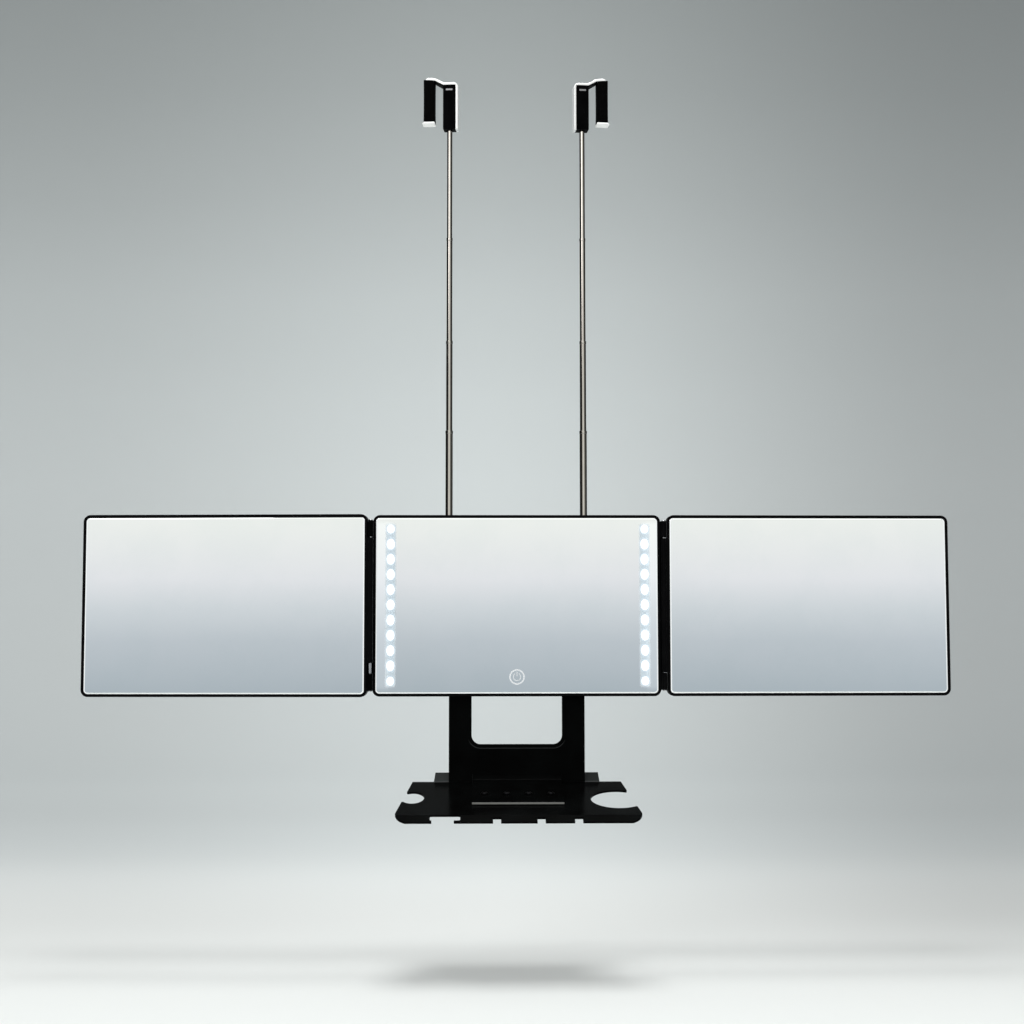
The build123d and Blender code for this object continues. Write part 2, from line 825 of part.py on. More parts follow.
def strap_body(clearance):
    """The bent strap, grown all over by a clearance."""
    free_x = strap_outer + strap_thickness
    free_end = sleeve_bottom - foot_thickness + foot_socket_wall - clearance
    inner = [(free_x, free_end)]
    inner += [(x, web_underside(x)) for x in (free_x, sleeve_inner, -block_half, block_half)]
    inner += [(block_half, hook_bottom - clearance)]
    section = strip_section(offset_line(inner, -clearance), strap_thickness + 2 * clearance,
                            strap_bend - clearance)
    return extrude(Plane.XZ * section, strap_depth / 2 + clearance, both=True)


def hook_place(shape):
    """Move a piece from the rod's own axis to its place, turned a little on the rod."""
    return Pos(-rod_x, rod_setback, 0) * Rot(0, 0, -hook_yaw) * shape


def hook_prism(points):
    """Polygon in x and z, solid over the full depth of the hook."""
    return extrude(Plane.XZ * make_face(Polyline(*points, close=True)), hook_depth / 2, both=True)


def hook_block():
    """Moulded block that holds the rod, with a gusset under the strap."""
    body = hook_prism([
        (-block_half, hook_bottom), (-block_half, web_underside(-block_half) - gusset_drop),
        (sleeve_inner, web_underside(sleeve_inner) - gusset_edge),
        (sleeve_inner, web_underside(sleeve_inner)), (-block_half, web_underside(-block_half)),
        (block_half, web_underside(block_half)), (block_half, hook_bottom)])
    body = fillet(body.edges().filter_by(Axis.Z).sort_by(Axis.X)[2:4], block_edge)
    body = fillet(body.faces().sort_by(Axis.Z)[0].edges(), block_edge * 0.7)
    bore_top = clip_height() + clip_thickness / 2 + rod_head_length + 4 * slide_clearance
    body -= column(0, 0, hook_bottom - 1, bore_top, tip_radius + slide_clearance)
    slot_x = clip_width / 2 + hook_fit
    slot_z = clip_thickness / 2 + hook_fit
    body -= block(-slot_x, slot_x, -hook_depth / 2 - 1, clip_reach + hook_fit,
                  clip_height() - slot_z, clip_height() + slot_z)
    return body - strap_body(hook_fit)


def hook_clip():
    """Flat spring clip pushed into the block round the rod's groove."""
    low, high = clip_height() - clip_thickness / 2, clip_height() + clip_thickness / 2
    half = clip_width / 2
    fork = rod_groove_radius + slide_clearance
    plate = block(-half, half, -hook_depth / 2, clip_reach, low, high)
    plate -= column(0, 0, low - 1, high + 1, fork)
    return plate - block(-fork, fork, 0, clip_reach + 1, low - 1, high + 1)


def hook_sleeve():
    """Soft sleeve over the free limb, thick on the side that meets the door."""
    body = hook_prism([
        (sleeve_outer, sleeve_bottom), (sleeve_outer, web_underside(sleeve_outer)),
        (sleeve_inner - hook_fit, web_underside(sleeve_inner)),
        (sleeve_inner - hook_fit, sleeve_bottom)])
    body = fillet(body.edges().filter_by(Axis.Z).sort_by(Axis.X)[2:], sleeve_edge)
    return body - strap_body(hook_fit)


def hook_foot():
    """Pale end cap pushed on the strap under the sleeve, with a wider lip at its foot."""
    top = sleeve_bottom - hook_fit
    bottom = sleeve_bottom - foot_thickness
    cap = block(sleeve_outer, sleeve_inner, -hook_depth / 2, hook_depth / 2, bottom, top)
    lip = block(sleeve_outer - foot_overhang, sleeve_inner, -hook_depth / 2, hook_depth / 2,
                bottom, bottom + foot_lip)
    lip = fillet(lip.edges().filter_by(Axis.Z), foot_overhang * 0.8)
    return cap + lip - strap_body(hook_fit)


# ---------------------------------------------------------------- bracket plate and tray
tray_plane = Plane(
    origin=(0, plate_back, tray_fold_height), x_dir=(1, 0, 0),
    z_dir=(0, -sin(radians(tray_slope)), cos(radians(tray_slope))))


def down_slope(distance, height=0.0):
    """Point (y, z) at a distance forward of the fold and a height above the tray's face."""
    slope = radians(tray_slope)
    return (plate_back - distance * cos(slope) - height * sin(slope),
            tray_fold_height - distance * sin(slope) + height * cos(slope))


def keyhole(x, z):
    """Slot that drops over a peg: the wide end lies below by the lift travel."""
    slot = peg_radius + peg_play
    cut = disc(x, z - lift_travel, peg_head_radius + 2 * peg_play, plate_front - 1, plate_back + 1)
    cut += disc(x, z, slot, plate_front - 1, plate_back + 1)
    return cut + block(x - slot, x + slot, plate_front - 1, plate_back + 1, z - lift_travel, z)


def bracket_plate():
    """Sheet bracket: window frame, keyholes and a tongue bent forward over the tray."""
    foot = tray_fold_height + plate_foot_gap
    plate = block(-bracket_width / 2, bracket_width / 2, plate_front, plate_back,
                  foot, bracket_top)
    top_edges = [e for e in plate.edges().filter_by(Axis.Y) if e.center().Z > bracket_top - 1]
    plate = fillet(top_edges, plate_corner)
    window_height = window_top - window_bottom
    window_z = (window_top + window_bottom) / 2
    bead_slab = slab(window_width + 2 * bead_width, window_height + 2 * bead_width,
                     window_corner + bead_width, plate_front - bead_height, plate_front, z=window_z)
    bead = chamfer(bead_slab.faces().sort_by(Axis.Y)[0].edges(), bead_height * 0.9)
    plate += bead
    plate -= slab(window_width, window_height, window_corner, plate_front - 2, plate_back + 1,
                  z=window_z)
    for x, z in peg_places():
        plate -= keyhole(x, z)
    half = tongue_width / 2
    bend_reach = (tongue_bend + plate_thickness) * tan(radians((90 - tray_slope) / 2))
    bend_start = tray_fold_height + bend_reach + tongue_root
    plate -= block(-half - tongue_relief, half + tongue_relief, plate_front - 2, plate_back + 1,
                   foot - 1, bend_start)
    corner = (plate_back, tray_fold_height + seat_gap / cos(radians(tray_slope)))
    under_side = [down_slope(tongue_length, seat_gap), corner, (plate_back, bend_start)]
    section = strip_section(under_side, plate_thickness, tongue_bend)
    plate += extrude(Plane.YZ * section, half, both=True)
    for x in tray_screw_places():
        plate -= screw_hole(x)
    return plate


def tray_screw_places():
    """X places of the screws through the tongue."""
    middle = (tray_screw_count - 1) / 2
    return [(i - middle) * tray_screw_pitch for i in range(tray_screw_count)]


def screw_hole(x):
    """Clearance hole through tongue and tray, square to the tray."""
    place = tray_plane * Pos(x, -tray_screw_distance, -10)
    return place * Pos(0, 0, 10) * Cylinder(tray_screw_radius + screw_clearance, 24)


def tray_outline():
    """Plan of the tray in its own plane: rear flange, tapering sides, rounded front corners."""
    front = tray_depth + apron_length
    wide = tray_back_half + tray_side_taper * front
    rear = flange_length
    outline = Polyline(
        (-flange_top_half, rear), (flange_top_half, rear), (flange_bottom_half, 0),
        (tray_back_half, 0), (wide, -front), (-wide, -front), (-tray_back_half, 0),
        (-flange_bottom_half, 0), close=True)
    face = make_face(outline)
    corners = [v for v in face.vertices() if v.Y < -front + 1]
    return fillet(corners, tray_corner)


def tray_cuts():
    """Openings of the tray in its own plane."""
    cuts = Pos(ring_offset, -ring_distance) * Circle(ring_radius)
    cuts += Pos(-notch_offset, -notch_distance) * Ellipse(notch_half_width, notch_half_depth)
    slot_width = t_slot_right - t_slot_left
    slot_mid = (t_slot_right + t_slot_left) / 2
    cuts += Pos(slot_mid, -t_slot_back - t_slot_depth / 2) * RectangleRounded(
        slot_width, t_slot_depth, 1.5)
    mouth_width = t_mouth_right - t_mouth_left
    mouth_mid = (t_mouth_right + t_mouth_left) / 2
    front = tray_depth + apron_length + 5
    mouth_depth = front - t_slot_back - t_slot_depth / 2
    cuts += Pos(mouth_mid, -front + mouth_depth / 2) * Rectangle(mouth_width, mouth_depth)
    for x in comb_notch_places:
        depth = front - comb_notch_back
        cuts += Pos(x, -front + depth / 2) * Rectangle(comb_notch_width, depth)
    return cuts


def tray_plan():
    """Outline less its openings, with the four lips of the ring and the side notch rounded."""
    plan = tray_outline() - tray_cuts()
    lips = []
    for v in plan.vertices():
        ring_miss = hypot(v.X - ring_offset, v.Y + ring_distance) - ring_radius
        notch_miss = hypot((v.X + notch_offset) / notch_half_width,
                           (v.Y + notch_distance) / notch_half_depth) - 1
        if (abs(ring_miss) < 0.01 and v.X > ring_offset) or (
                abs(notch_miss) < 0.001 and v.X < -notch_offset):
            lips.append(v)
    return fillet(lips, lip_round)


def tray():
    """Sheet tray: leaning rear flange, sloping bed and a steeper apron, cut to its plan."""
    lean, steep = radians(flange_lean), radians(apron_slope)
    crest = (plate_back + flange_length * sin(lean), tray_fold_height + flange_length * cos(lean))
    hinge_line = down_slope(tray_depth)
    lip = (hinge_line[0] - apron_length * cos(steep), hinge_line[1] - apron_length * sin(steep))
    upper_side = [crest, down_slope(0), hinge_line, lip]
    section = strip_section(upper_side, tray_thickness, tray_bend)
    sheet = extrude(Plane.YZ * section, 130, both=True)
    sheet &= extrude(tray_plane * tray_plan(), 30, both=True)
    for x in tray_screw_places():
        sheet -= screw_hole(x)
    return sheet


def tray_screws():
    """Button-head screws through the tongue, square to the tray."""
    head_base = seat_gap + plate_thickness
    screws = []
    for x in tray_screw_places():
        place = tray_plane * Pos(x, -tray_screw_distance, 0)
        head = Pos(0, 0, head_base + tray_screw_head_height / 2) * Cylinder(
            tray_screw_head_radius, tray_screw_head_height)
        head = fillet(head.faces().sort_by(Axis.Z)[-1].edges(), tray_screw_head_height * 0.7)
        shank_length = head_base + tray_thickness + nut_thickness + 0.6
        shank = Pos(0, 0, head_base - shank_length / 2) * Cylinder(tray_screw_radius, shank_length)
        screws.append(place * (head + shank))
    return screws


def tray_nuts():
    """Hexagon nuts under the tray."""
    nuts = []
    for x in tray_screw_places():
        hexagon = RegularPolygon(nut_across_flats / 2, 6, major_radius=False)
        nut = extrude(hexagon, -nut_thickness) - Pos(0, 0, -nut_thickness / 2) * Cylinder(
            tray_screw_radius + pin_clearance, nut_thickness + 1)
        nuts.append(tray_plane * Pos(x, -tray_screw_distance, -tray_thickness) * nut)
    return nuts


def tray_pegs():
    """Shoulder screws that the bracket's keyholes hang on."""
    pegs = []
    for x, z in peg_places():
        peg = disc(x, z, peg_shank_radius, -peg_shank_length, 0)
        peg += disc(x, z, peg_radius, 0, plate_back + peg_play)
        top = plate_back + peg_play
        peg += disc(x, z, peg_head_radius, top, top + peg_head_height)
        pegs.append(peg)
    return pegs


# ---------------------------------------------------------------- nodes
def build_nodes():
    """Every piece in place, by its node name."""
    nodes = {
        "centre_frame": centre_frame(),
        "centre_back_cover": centre_cover(),
        "centre_glass": panel_glass(centre_width),
        "centre_glass_tape": glass_tape(centre_width),
        "light_diffuser_left": light_diffuser(-1),
        "light_diffuser_right": light_diffuser(1),
        "light_board_left": strip_board(-1),
        "light_board_right": strip_board(1),
        "light_chips": light_chips(),
        "control_board": control_board(),
        "touch_ring": touch_ring(),
        "touch_pad": touch_pad(),
        "battery": battery(),
        "charging_port": charging_port(),
        "internal_leads": internal_leads(),
        "centre_cover_screws": cover_screws(centre_bosses),
        "tray_pegs": tray_pegs(),
        "hinge_post": hinge_post(),
        "hinge_post_screws": hinge_post_screws(),
        "left_hinge_pin": hinge_pin(left_axis_x, left_axis_y),
        "right_hinge_pin": hinge_pin(right_axis_x, right_axis_y),
        "rod_clevis_screws": clevis_screws(),
        "bracket_plate": bracket_plate(),
        "tray": tray(),
        "tray_screws": tray_screws(),
        "tray_nuts": tray_nuts(),
    }
    for name, side in (("left", -1), ("right", 1)):
        place = side_place(side)
        nodes[name + "_frame"] = swing(side, side_frame(side))
        nodes[name + "_back_cover"] = swing(side, place * back_cover(side_width, side_bosses, True))
        nodes[name + "_glass"] = swing(side, place * panel_glass(side_width))
        nodes[name + "_glass_tape"] = swing(side, place * glass_tape(side_width))
        nodes[name + "_cover_screws"] = [
            swing(side, place * screw) for screw in cover_screws(side_bosses)]
    left_rod = {
        "rod_clevis": rod_clevis(), "rod_pivot_pin": pivot_pin(), "rod_eye": rod_eye(),
        "rod_tube_1": tube(0), "rod_tube_2": tube(1), "rod_tube_3": tube(2), "rod_tip": rod_tip(),
        "hook_strap": hook_place(strap_body(0)), "hook_block": hook_place(hook_block()),
        "hook_clip": hook_place(hook_clip()), "hook_sleeve": hook_place(hook_sleeve()),
        "hook_foot": hook_place(hook_foot()),
    }
    for name, shape in left_rod.items():
        nodes["left_" + name] = shape
        nodes["right_" + name] = mirrored(shape)
    return nodes


os.makedirs("parts", exist_ok=True)
for node_name, node_shape in build_nodes().items():
    if isinstance(node_shape, list):
        node_shape = Compound(children=[Compound(s.solids()) for s in node_shape])
    export_step(node_shape, f"parts/{node_name}.step")
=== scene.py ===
"""Dresses the trifold vanity mirror: node finishes, finer rods, hooks and screws, and a studio."""
import json
import math

import bmesh
import bpy
import numpy as np
from mathutils import Matrix

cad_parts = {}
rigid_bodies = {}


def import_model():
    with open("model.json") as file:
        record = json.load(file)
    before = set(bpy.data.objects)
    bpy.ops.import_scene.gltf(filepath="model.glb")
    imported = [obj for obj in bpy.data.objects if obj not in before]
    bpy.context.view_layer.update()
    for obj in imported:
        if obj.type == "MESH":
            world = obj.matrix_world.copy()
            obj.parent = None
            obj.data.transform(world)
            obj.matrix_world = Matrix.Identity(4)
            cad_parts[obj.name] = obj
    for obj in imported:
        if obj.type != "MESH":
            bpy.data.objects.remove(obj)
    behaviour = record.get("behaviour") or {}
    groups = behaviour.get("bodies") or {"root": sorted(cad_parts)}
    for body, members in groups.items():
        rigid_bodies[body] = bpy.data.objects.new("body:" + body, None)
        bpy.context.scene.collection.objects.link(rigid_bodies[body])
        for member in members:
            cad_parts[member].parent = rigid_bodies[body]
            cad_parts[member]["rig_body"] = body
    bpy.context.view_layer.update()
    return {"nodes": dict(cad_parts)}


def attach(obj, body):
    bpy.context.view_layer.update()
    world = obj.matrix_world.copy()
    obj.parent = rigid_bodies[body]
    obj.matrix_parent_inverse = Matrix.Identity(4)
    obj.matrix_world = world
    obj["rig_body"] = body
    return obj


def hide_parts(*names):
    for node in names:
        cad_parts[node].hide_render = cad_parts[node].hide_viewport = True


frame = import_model()

# ---------------------------------------------------------------- sizes, in millimetres
MM = 0.001
ROD_X, ROD_Y = 68.65, 15.0
PIVOT_Z = 50.0
# name, outer radius, wall, foot and mouth of each tube
TUBES = [("lower", 3.7, 0.4, 56.0, 178.9), ("middle", 3.25, 0.25, 164.9, 271.9),
         ("upper", 2.95, 0.2, 257.9, 379.3)]
TRAY_SLOPE = math.radians(13)
PLATE_BACK, TRAY_FOLD = 3.5, -176.2
TONGUE_LENGTH = 69.5
WINDOW_HALF, WINDOW_FOOT, WINDOW_CORNER = 45.3, -138.6, 9.0
# by side: x and y of the hinge line, the panel's turn in degrees, and the x of its middle line and its
# shift in y before that turn
HINGES = {-1: (-145.4, -26.9, -3.0, -291.1, -13.6), 1: (147.25, -13.3, 1.0, 293.1, 0.0)}
GLASS_CORNER, GLASS_CORNER_Z = 4.4, 83.5
LIGHT_PITCH, SIGN_Z = 15.17, -71.2
HOOK_TURN = math.radians(6)
SLEEVE_INNER, SLEEVE_TILT = -15.25, 1.3 / 11.6
RADIAN = math.degrees(1.0)  # in degrees


# ---------------------------------------------------------------- node trees
class Signal:
    """One output of a node. Arithmetic on it adds the Math nodes that work it out."""

    def __init__(self, finish, socket):
        self.finish, self.socket = finish, socket

    def maths(self, operation, *values):
        return self.finish.add("ShaderNodeMath", {"operation": operation}, dict(enumerate(values)))

    def __add__(self, other):
        return self.maths("ADD", self, other)

    def __radd__(self, other):
        return self.maths("ADD", other, self)

    def __sub__(self, other):
        return self.maths("SUBTRACT", self, other)

    def __rsub__(self, other):
        return self.maths("SUBTRACT", other, self)

    def __mul__(self, other):
        return self.maths("MULTIPLY", self, other)

    def __rmul__(self, other):
        return self.maths("MULTIPLY", other, self)

    def __truediv__(self, other):
        return self.maths("DIVIDE", self, other)

    def __abs__(self):
        return self.maths("ABSOLUTE", self)

    def __pow__(self, power):
        return self.maths("POWER", self, power)

    def highest(self, other):
        return self.maths("MAXIMUM", self, other)

    def lowest(self, other):
        return self.maths("MINIMUM", self, other)

    def rise(self, low, high):
        """0 up to low, 1 from high, and a smooth step between; low may be above high."""
        return self.finish.add("ShaderNodeMapRange", {"interpolation_type": "SMOOTHSTEP"},
                               {"Value": self, "From Min": low, "From Max": high})

    def band(self, middle, half, soft):
        """1 within half of middle, falling to 0 over soft."""
        return abs(self - middle).rise(half + soft, half)

    def from_step(self):
        """Distance from the middle of the unit step that it is in: its fraction less 0.5."""
        return self - self.maths("FLOOR", self) - 0.5


class Finish:
    """The node tree of a material or of the world."""

    def __init__(self, owner):
        owner.use_nodes = True
        self.tree = owner.node_tree
        self.tree.nodes.clear()

    def add(self, kind, settings=None, sockets=None, output=None):
        """Adds a node: first its settings, then the values or links of its sockets.

        Returns the output that is named, or else the first one.
        """
        node = self.tree.nodes.new(kind)
        for key, value in (settings or {}).items():
            if key == "stops":
                elements = node.color_ramp.elements
                while len(elements) < len(value):
                    elements.new(0.5)
                for element, (place, colour) in zip(elements, value):
                    element.position, element.color = place, (*colour, 1.0)
            else:
                setattr(node, key, value)
        for key, value in (sockets or {}).items():
            socket = node.inputs[key] if isinstance(key, int) else next(
                s for s in node.inputs if s.identifier == key)
            if isinstance(value, Signal):
                self.tree.links.new(value.socket, socket)
            elif socket.type == "RGBA":
                socket.default_value = (*value[:3], 1.0)
            else:
                socket.default_value = value
        return Signal(self, next(s for s in node.outputs if output in (None, s.identifier)))

    def place(self):
        """Object coordinates in millimetres."""
        metres = self.add("ShaderNodeTexCoord", output="Object")
        return self.add("ShaderNodeVectorMath", {"operation": "SCALE"}, {"Vector": metres, "Scale": 1 / MM})

    def stretched(self, vector, x, y, z):
        return self.add("ShaderNodeVectorMath", {"operation": "MULTIPLY"},
                        {"Vector": vector, "Vector_001": (x, y, z)})

    def parts(self, vector):
        node = self.add("ShaderNodeSeparateXYZ", None, {"Vector": vector}).socket.node
        return [Signal(self, socket) for socket in node.outputs]

    def noise(self, vector, scale, detail=2.0, roughness=0.5):
        """Cloudy value from about 0.25 to 0.75, with features 1 / scale across."""
        return self.add("ShaderNodeTexNoise", None, {
            "Vector": vector, "Scale": scale, "Detail": detail, "Roughness": roughness})

    def drift(self, vector, scale):
        """Slow change from 0 to 1, with features 1 / scale across."""
        return self.noise(vector, scale, 3.0).rise(0.3, 0.7)

    def cells(self, vector, scale, feature="F1"):
        """Distance from the nearest of scattered points, which lie about 1 / scale apart."""
        return self.add("ShaderNodeTexVoronoi", {"feature": feature},
                        {"Vector": vector, "Scale": scale}, output="Distance")

    def mix(self, share, first, second):
        """Colour that goes from first to second as share goes from 0 to 1."""
        return self.add("ShaderNodeMix", {"data_type": "RGBA"}, {
            "Factor_Float": share, "A_Color": first, "B_Color": second}, output="Result_Color")

    def bump(self, height, depth):
        """Normal of a surface raised by height times depth, in millimetres."""
        return self.add("ShaderNodeBump", None, {"Height": height, "Distance": depth * MM})

    def surface(self, **sockets):
        """Principled shader and output; a word's underscore stands for a space."""
        named = {key.replace("_", " "): value for key, value in sockets.items()}
        shader = self.add("ShaderNodeBsdfPrincipled", None, named)
        self.add_output("ShaderNodeOutputMaterial", shader)

    def add_output(self, kind, shader):
        node = self.tree.nodes.new(kind)
        self.tree.links.new(shader.socket, node.inputs["Surface"])


def tone(red, green, blue):
    """Linear colour of an 8-bit display colour: ((c + 0.055) / 1.055) ** 2.4 above the toe."""
    shares = np.array([red, green, blue]) / 255.0
    linear = np.where(shares > 0.04045, ((shares + 0.055) / 1.055) ** 2.4, shares / 12.92)
    return tuple(float(v) for v in linear)


def new_finish(name):
    material = bpy.data.materials.new(name)
    return material, Finish(material)


# ---------------------------------------------------------------- finishes
def moulded(name, dark, light, gloss, grain, depth, specular=0.25):
    """Spark-textured moulding: fine pits of 1 / grain mm, and slow drift of colour and gloss."""
    material, f = new_finish(name)
    place = f.place()
    pits = f.noise(place, grain, 3.0, 0.6)
    drift = f.drift(place, 0.05)
    f.surface(Base_Color=f.mix(drift, dark, light),
              Roughness=gloss + 0.10 * (pits - 0.5) + 0.06 * drift,
              Specular_IOR_Level=specular, Normal=f.bump(pits, depth))
    return material


def leather_grain_cover(name):
    """Moulded cover: rounded cells about 1 mm across, with fine pits over them."""
    material, f = new_finish(name)
    place = f.place()
    pebbles = f.cells(place, 1.1, "SMOOTH_F1").rise(0.75, 0.1)
    pits = f.noise(place, 3.5, 3.0, 0.6)
    drift = f.drift(place, 0.04)
    height = pebbles * 0.7 + pits * 0.3
    f.surface(Base_Color=f.mix(drift * 0.6 + pebbles * 0.4, tone(17, 17, 18), tone(27, 27, 29)),
              Roughness=0.56 - 0.14 * pebbles + 0.05 * drift,
              Specular_IOR_Level=0.3, Normal=f.bump(height, 0.05))
    return material


def drawn_metal(name, dark, light, gloss, lines, depth=0.004, wear=0.0, metallic=1.0, shade=0.0):
    """Bright metal with drawing lines: noise squeezed across the metal and stretched along it.

    shade is painted shade: it darkens the base colour where the metal turns away from the eye, standing in
    for the dark surroundings that polished metal mirrors at its outline.
    """
    material, f = new_finish(name)
    place = f.place()
    scratches = f.noise(f.stretched(place, *lines), 1.0, 4.0, 0.6)
    clouds = f.drift(place, 0.12)
    base = f.mix(clouds * 0.5 + scratches * 0.5, dark, light)
    if shade:
        # painted shade: the base colour darkens where the surface turns away from the eye
        facing = f.add("ShaderNodeLayerWeight", output="Facing")
        base = f.mix(shade * facing.rise(0.08, 0.3), base, tone(30, 28, 26))
    f.surface(Base_Color=base, Metallic=metallic,
              Roughness=gloss + 0.16 * (scratches - 0.5) + wear * clouds,
              Normal=f.bump(scratches, depth))
    return material


def powder_coat(name, painted_light=None):
    """Powder-coated sheet: orange peel 1.4 mm across with fine speckle.

    The bracket has a painted highlight on its tongue's end and on the bead under its window, which runs
    3.9 mm outside the window's rounded outline. The tray has a painted sheen on its rear flange, most of
    all on the left, and a painted highlight along its fold.
    """
    material, f = new_finish(name)
    place = f.place()
    peel = f.noise(place, 0.7, 2.0, 0.4)
    speckle = f.noise(place, 4.0, 2.0, 0.6)
    drift = f.drift(place, 0.03)
    base = f.mix(drift, tone(4, 4, 4), tone(7, 8, 8))
    x, y, z = f.parts(place)
    uneven = 1 + 0.6 * (speckle - 0.5)
    if painted_light == "bracket":
        back, up = PLATE_BACK - y, z - TRAY_FOLD
        down = back * math.cos(TRAY_SLOPE) - up * math.sin(TRAY_SLOPE)
        lift = back * math.sin(TRAY_SLOPE) + up * math.cos(TRAY_SLOPE)
        # painted highlight along the tongue's end edge
        painted_edge_highlight = down.rise(TONGUE_LENGTH - 0.3, TONGUE_LENGTH - 0.05) * lift.rise(0.55, 0.95)
        base = f.mix(painted_edge_highlight * uneven * 0.8, base, tone(160, 160, 156))
        across = (abs(x) - WINDOW_HALF + WINDOW_CORNER).highest(0.0)
        below = (WINDOW_FOOT + WINDOW_CORNER - z).highest(0.0)
        outside = (across ** 2.0 + below ** 2.0) ** 0.5 - WINDOW_CORNER
        bead_out = 3.9
        # painted highlight along the bead's outer edge under the window
        bead = outside.band(bead_out, 0.25, 0.4) * (WINDOW_FOOT + 6.0 - z).rise(0.0, 8.0)
        base = f.mix(bead * uneven * 0.8, base, tone(56, 58, 58))
    if painted_light == "tray":
        # painted sheen on the rear flange, stronger on the left
        flange = (z - TRAY_FOLD).rise(-0.3, 0.9)
        base = f.mix(flange * uneven * (0.9 - 0.3 * x.rise(-60.0, 60.0)), base, tone(58, 61, 61))
        # painted highlight along the fold
        base = f.mix((z - TRAY_FOLD).band(0.3, 0.3, 0.5) * 0.4, base, tone(84, 86, 86))
    f.surface(Base_Color=base, Roughness=0.17 + 0.08 * (speckle - 0.5) + 0.04 * drift,
              Specular_IOR_Level=0.0075, Normal=f.bump(peel * 0.8 + speckle * 0.2, 0.015))
    return material


def silvered(f, place, u, half, top):
    """Base colour, roughness, dull share and shine of a mirror glass, dull being ground or black.

    The silvering is even with a faint haze. u is the distance from the middle line. The depth in from the
    edge is the corner's radius less the distance past its centre, (p ** 2 + q ** 2) ** 0.5. The sides and
    corners are ground white at depths of 0.5 to 1.7 mm, and shine is a painted glow on them, a painted
    highlight. The sides are painted black for the last 0.5 mm, and so is everything above the height top: a
    painted shadow where the glass meets the frame.
    """
    haze = f.noise(place, 0.02, 4.0, 0.6).rise(0.35, 0.7)
    specks = f.noise(place, 0.6).rise(0.62, 0.8)
    z = f.parts(place)[2]
    # painted shadow: a black line down the sides and along the top, where the glass meets the frame
    black = abs(u).rise(half - 0.55, half - 0.4).highest(z.rise(top, top + 0.2))
    p = (abs(u) - half + GLASS_CORNER).highest(0.0)
    q = (abs(z) - GLASS_CORNER_Z).highest(0.0)
    depth = GLASS_CORNER - (p ** 2.0 + q ** 2.0) ** 0.5
    ground = depth.band(1.1, 0.45, 0.15) * p.rise(0.2, 1.8) * (1 - black)
    base = f.mix(haze, tone(247, 249, 249), tone(244, 247, 247))
    base = f.mix(black, f.mix(ground, base, tone(150, 152, 152)), tone(8, 8, 8))
    # painted highlight: the ground bands glow whatever light falls on them
    shine = f.mix(ground, tone(0, 0, 0), tone(214, 217, 217))
    return base, 0.012 + 0.014 * haze + 0.01 * specks, ground.highest(black), shine


def mirror_glass(name, side):
    """Silvered glass of a side panel; its middle line is turned with it about its hinge."""
    material, f = new_finish(name)
    place = f.place()
    x, y, _ = f.parts(place)
    hinge_x, hinge_y, degrees, middle, _ = HINGES[side]
    angle = math.radians(degrees)
    u = (x - hinge_x) * math.cos(angle) + (y - hinge_y) * math.sin(angle) + (hinge_x - middle)
    top = 86.9 if side < 0 else 87.2
    base, rough, dull, shine = silvered(f, place, u, 140.0, top)
    # shine is the painted glow on the ground edges
    f.surface(Base_Color=base, Metallic=1 - dull, Roughness=rough + 0.3 * dull,
              Emission_Color=shine, Emission_Strength=1.0)
    return material


def lit_mirror_glass(name):
    """Silvered glass with etched windows: two columns of lit ovals on pale strips, and a touch sign.

    An oval is where (across / wide) ** 2 + (along / tall) ** 2 < 1, measured from the column's middle line
    and from the nearest multiple of the pitch. The ovals at a column's ends are smaller. The sign is a
    ring, and in it an open arc and a bar. A painted glow lies round each oval, and a faint painted glow on
    the silvering beyond the columns.
    """
    middle_x, middle_z, column_x = 0.9, 0.6, 127.1
    material, f = new_finish(name)
    place = f.place()
    x, _, z = f.parts(place)
    aside = abs(x - middle_x)
    across = abs(aside - column_x)
    level = z - middle_z
    along = (level / LIGHT_PITCH + 0.5).from_step() * LIGHT_PITCH
    last = abs(level).rise(68.0, 69.0)
    tall = 5.1 - 0.9 * last
    wide = 3.8 - 0.2 * last
    oval = ((across / wide) ** 2.0 + (along / tall) ** 2.0) ** 0.5
    column = abs(z).rise(83.6, 83.0)
    spots = oval.rise(1.16, 0.86) * column
    # painted glow: a halo round each lit oval
    glow = oval.rise(1.9, 0.8) * column
    strip = across.rise(6.2, 3.6) * abs(z).rise(83.0, 78.0)
    # painted glow: a faint brightening of the silvering beyond the columns
    painted_border_glow = aside.rise(127.0, 130.0) * abs(z).rise(86.0, 80.0)
    height = z - SIGN_Z
    radius = (x ** 2.0 + height ** 2.0) ** 0.5
    ring = radius.band(7.0, 0.5, 0.35) * 0.85
    arc = radius.band(3.7, 0.35, 0.3) * (1 - abs(x).rise(1.9, 1.5) * height.rise(0.0, 0.2))
    bar = abs(x).rise(0.7, 0.4) * height.band(3.0, 2.1, 0.3)
    sign = ring.highest(0.45 * arc.highest(bar))
    base, rough, dull, shine = silvered(f, place, x, 141.4, 87.3)
    base = f.mix(strip * 0.75, base, tone(196, 214, 226))
    base = f.mix(spots.highest(sign), base, tone(240, 243, 246))
    etched = spots.highest(strip * 0.75).highest(sign * 0.9).highest(dull)
    shine = f.mix(spots, shine, tone(220, 228, 236))
    shine = f.mix((glow - spots).highest(0.0) * 0.18, shine, tone(190, 212, 235))
    shine = f.mix(painted_border_glow * (1 - spots) * (1 - dull) * 0.1, shine, tone(246, 252, 255))
    f.surface(Base_Color=base, Metallic=1 - etched, Roughness=rough + 0.4 * etched,
              Emission_Color=shine, Emission_Strength=1.0)
    return material


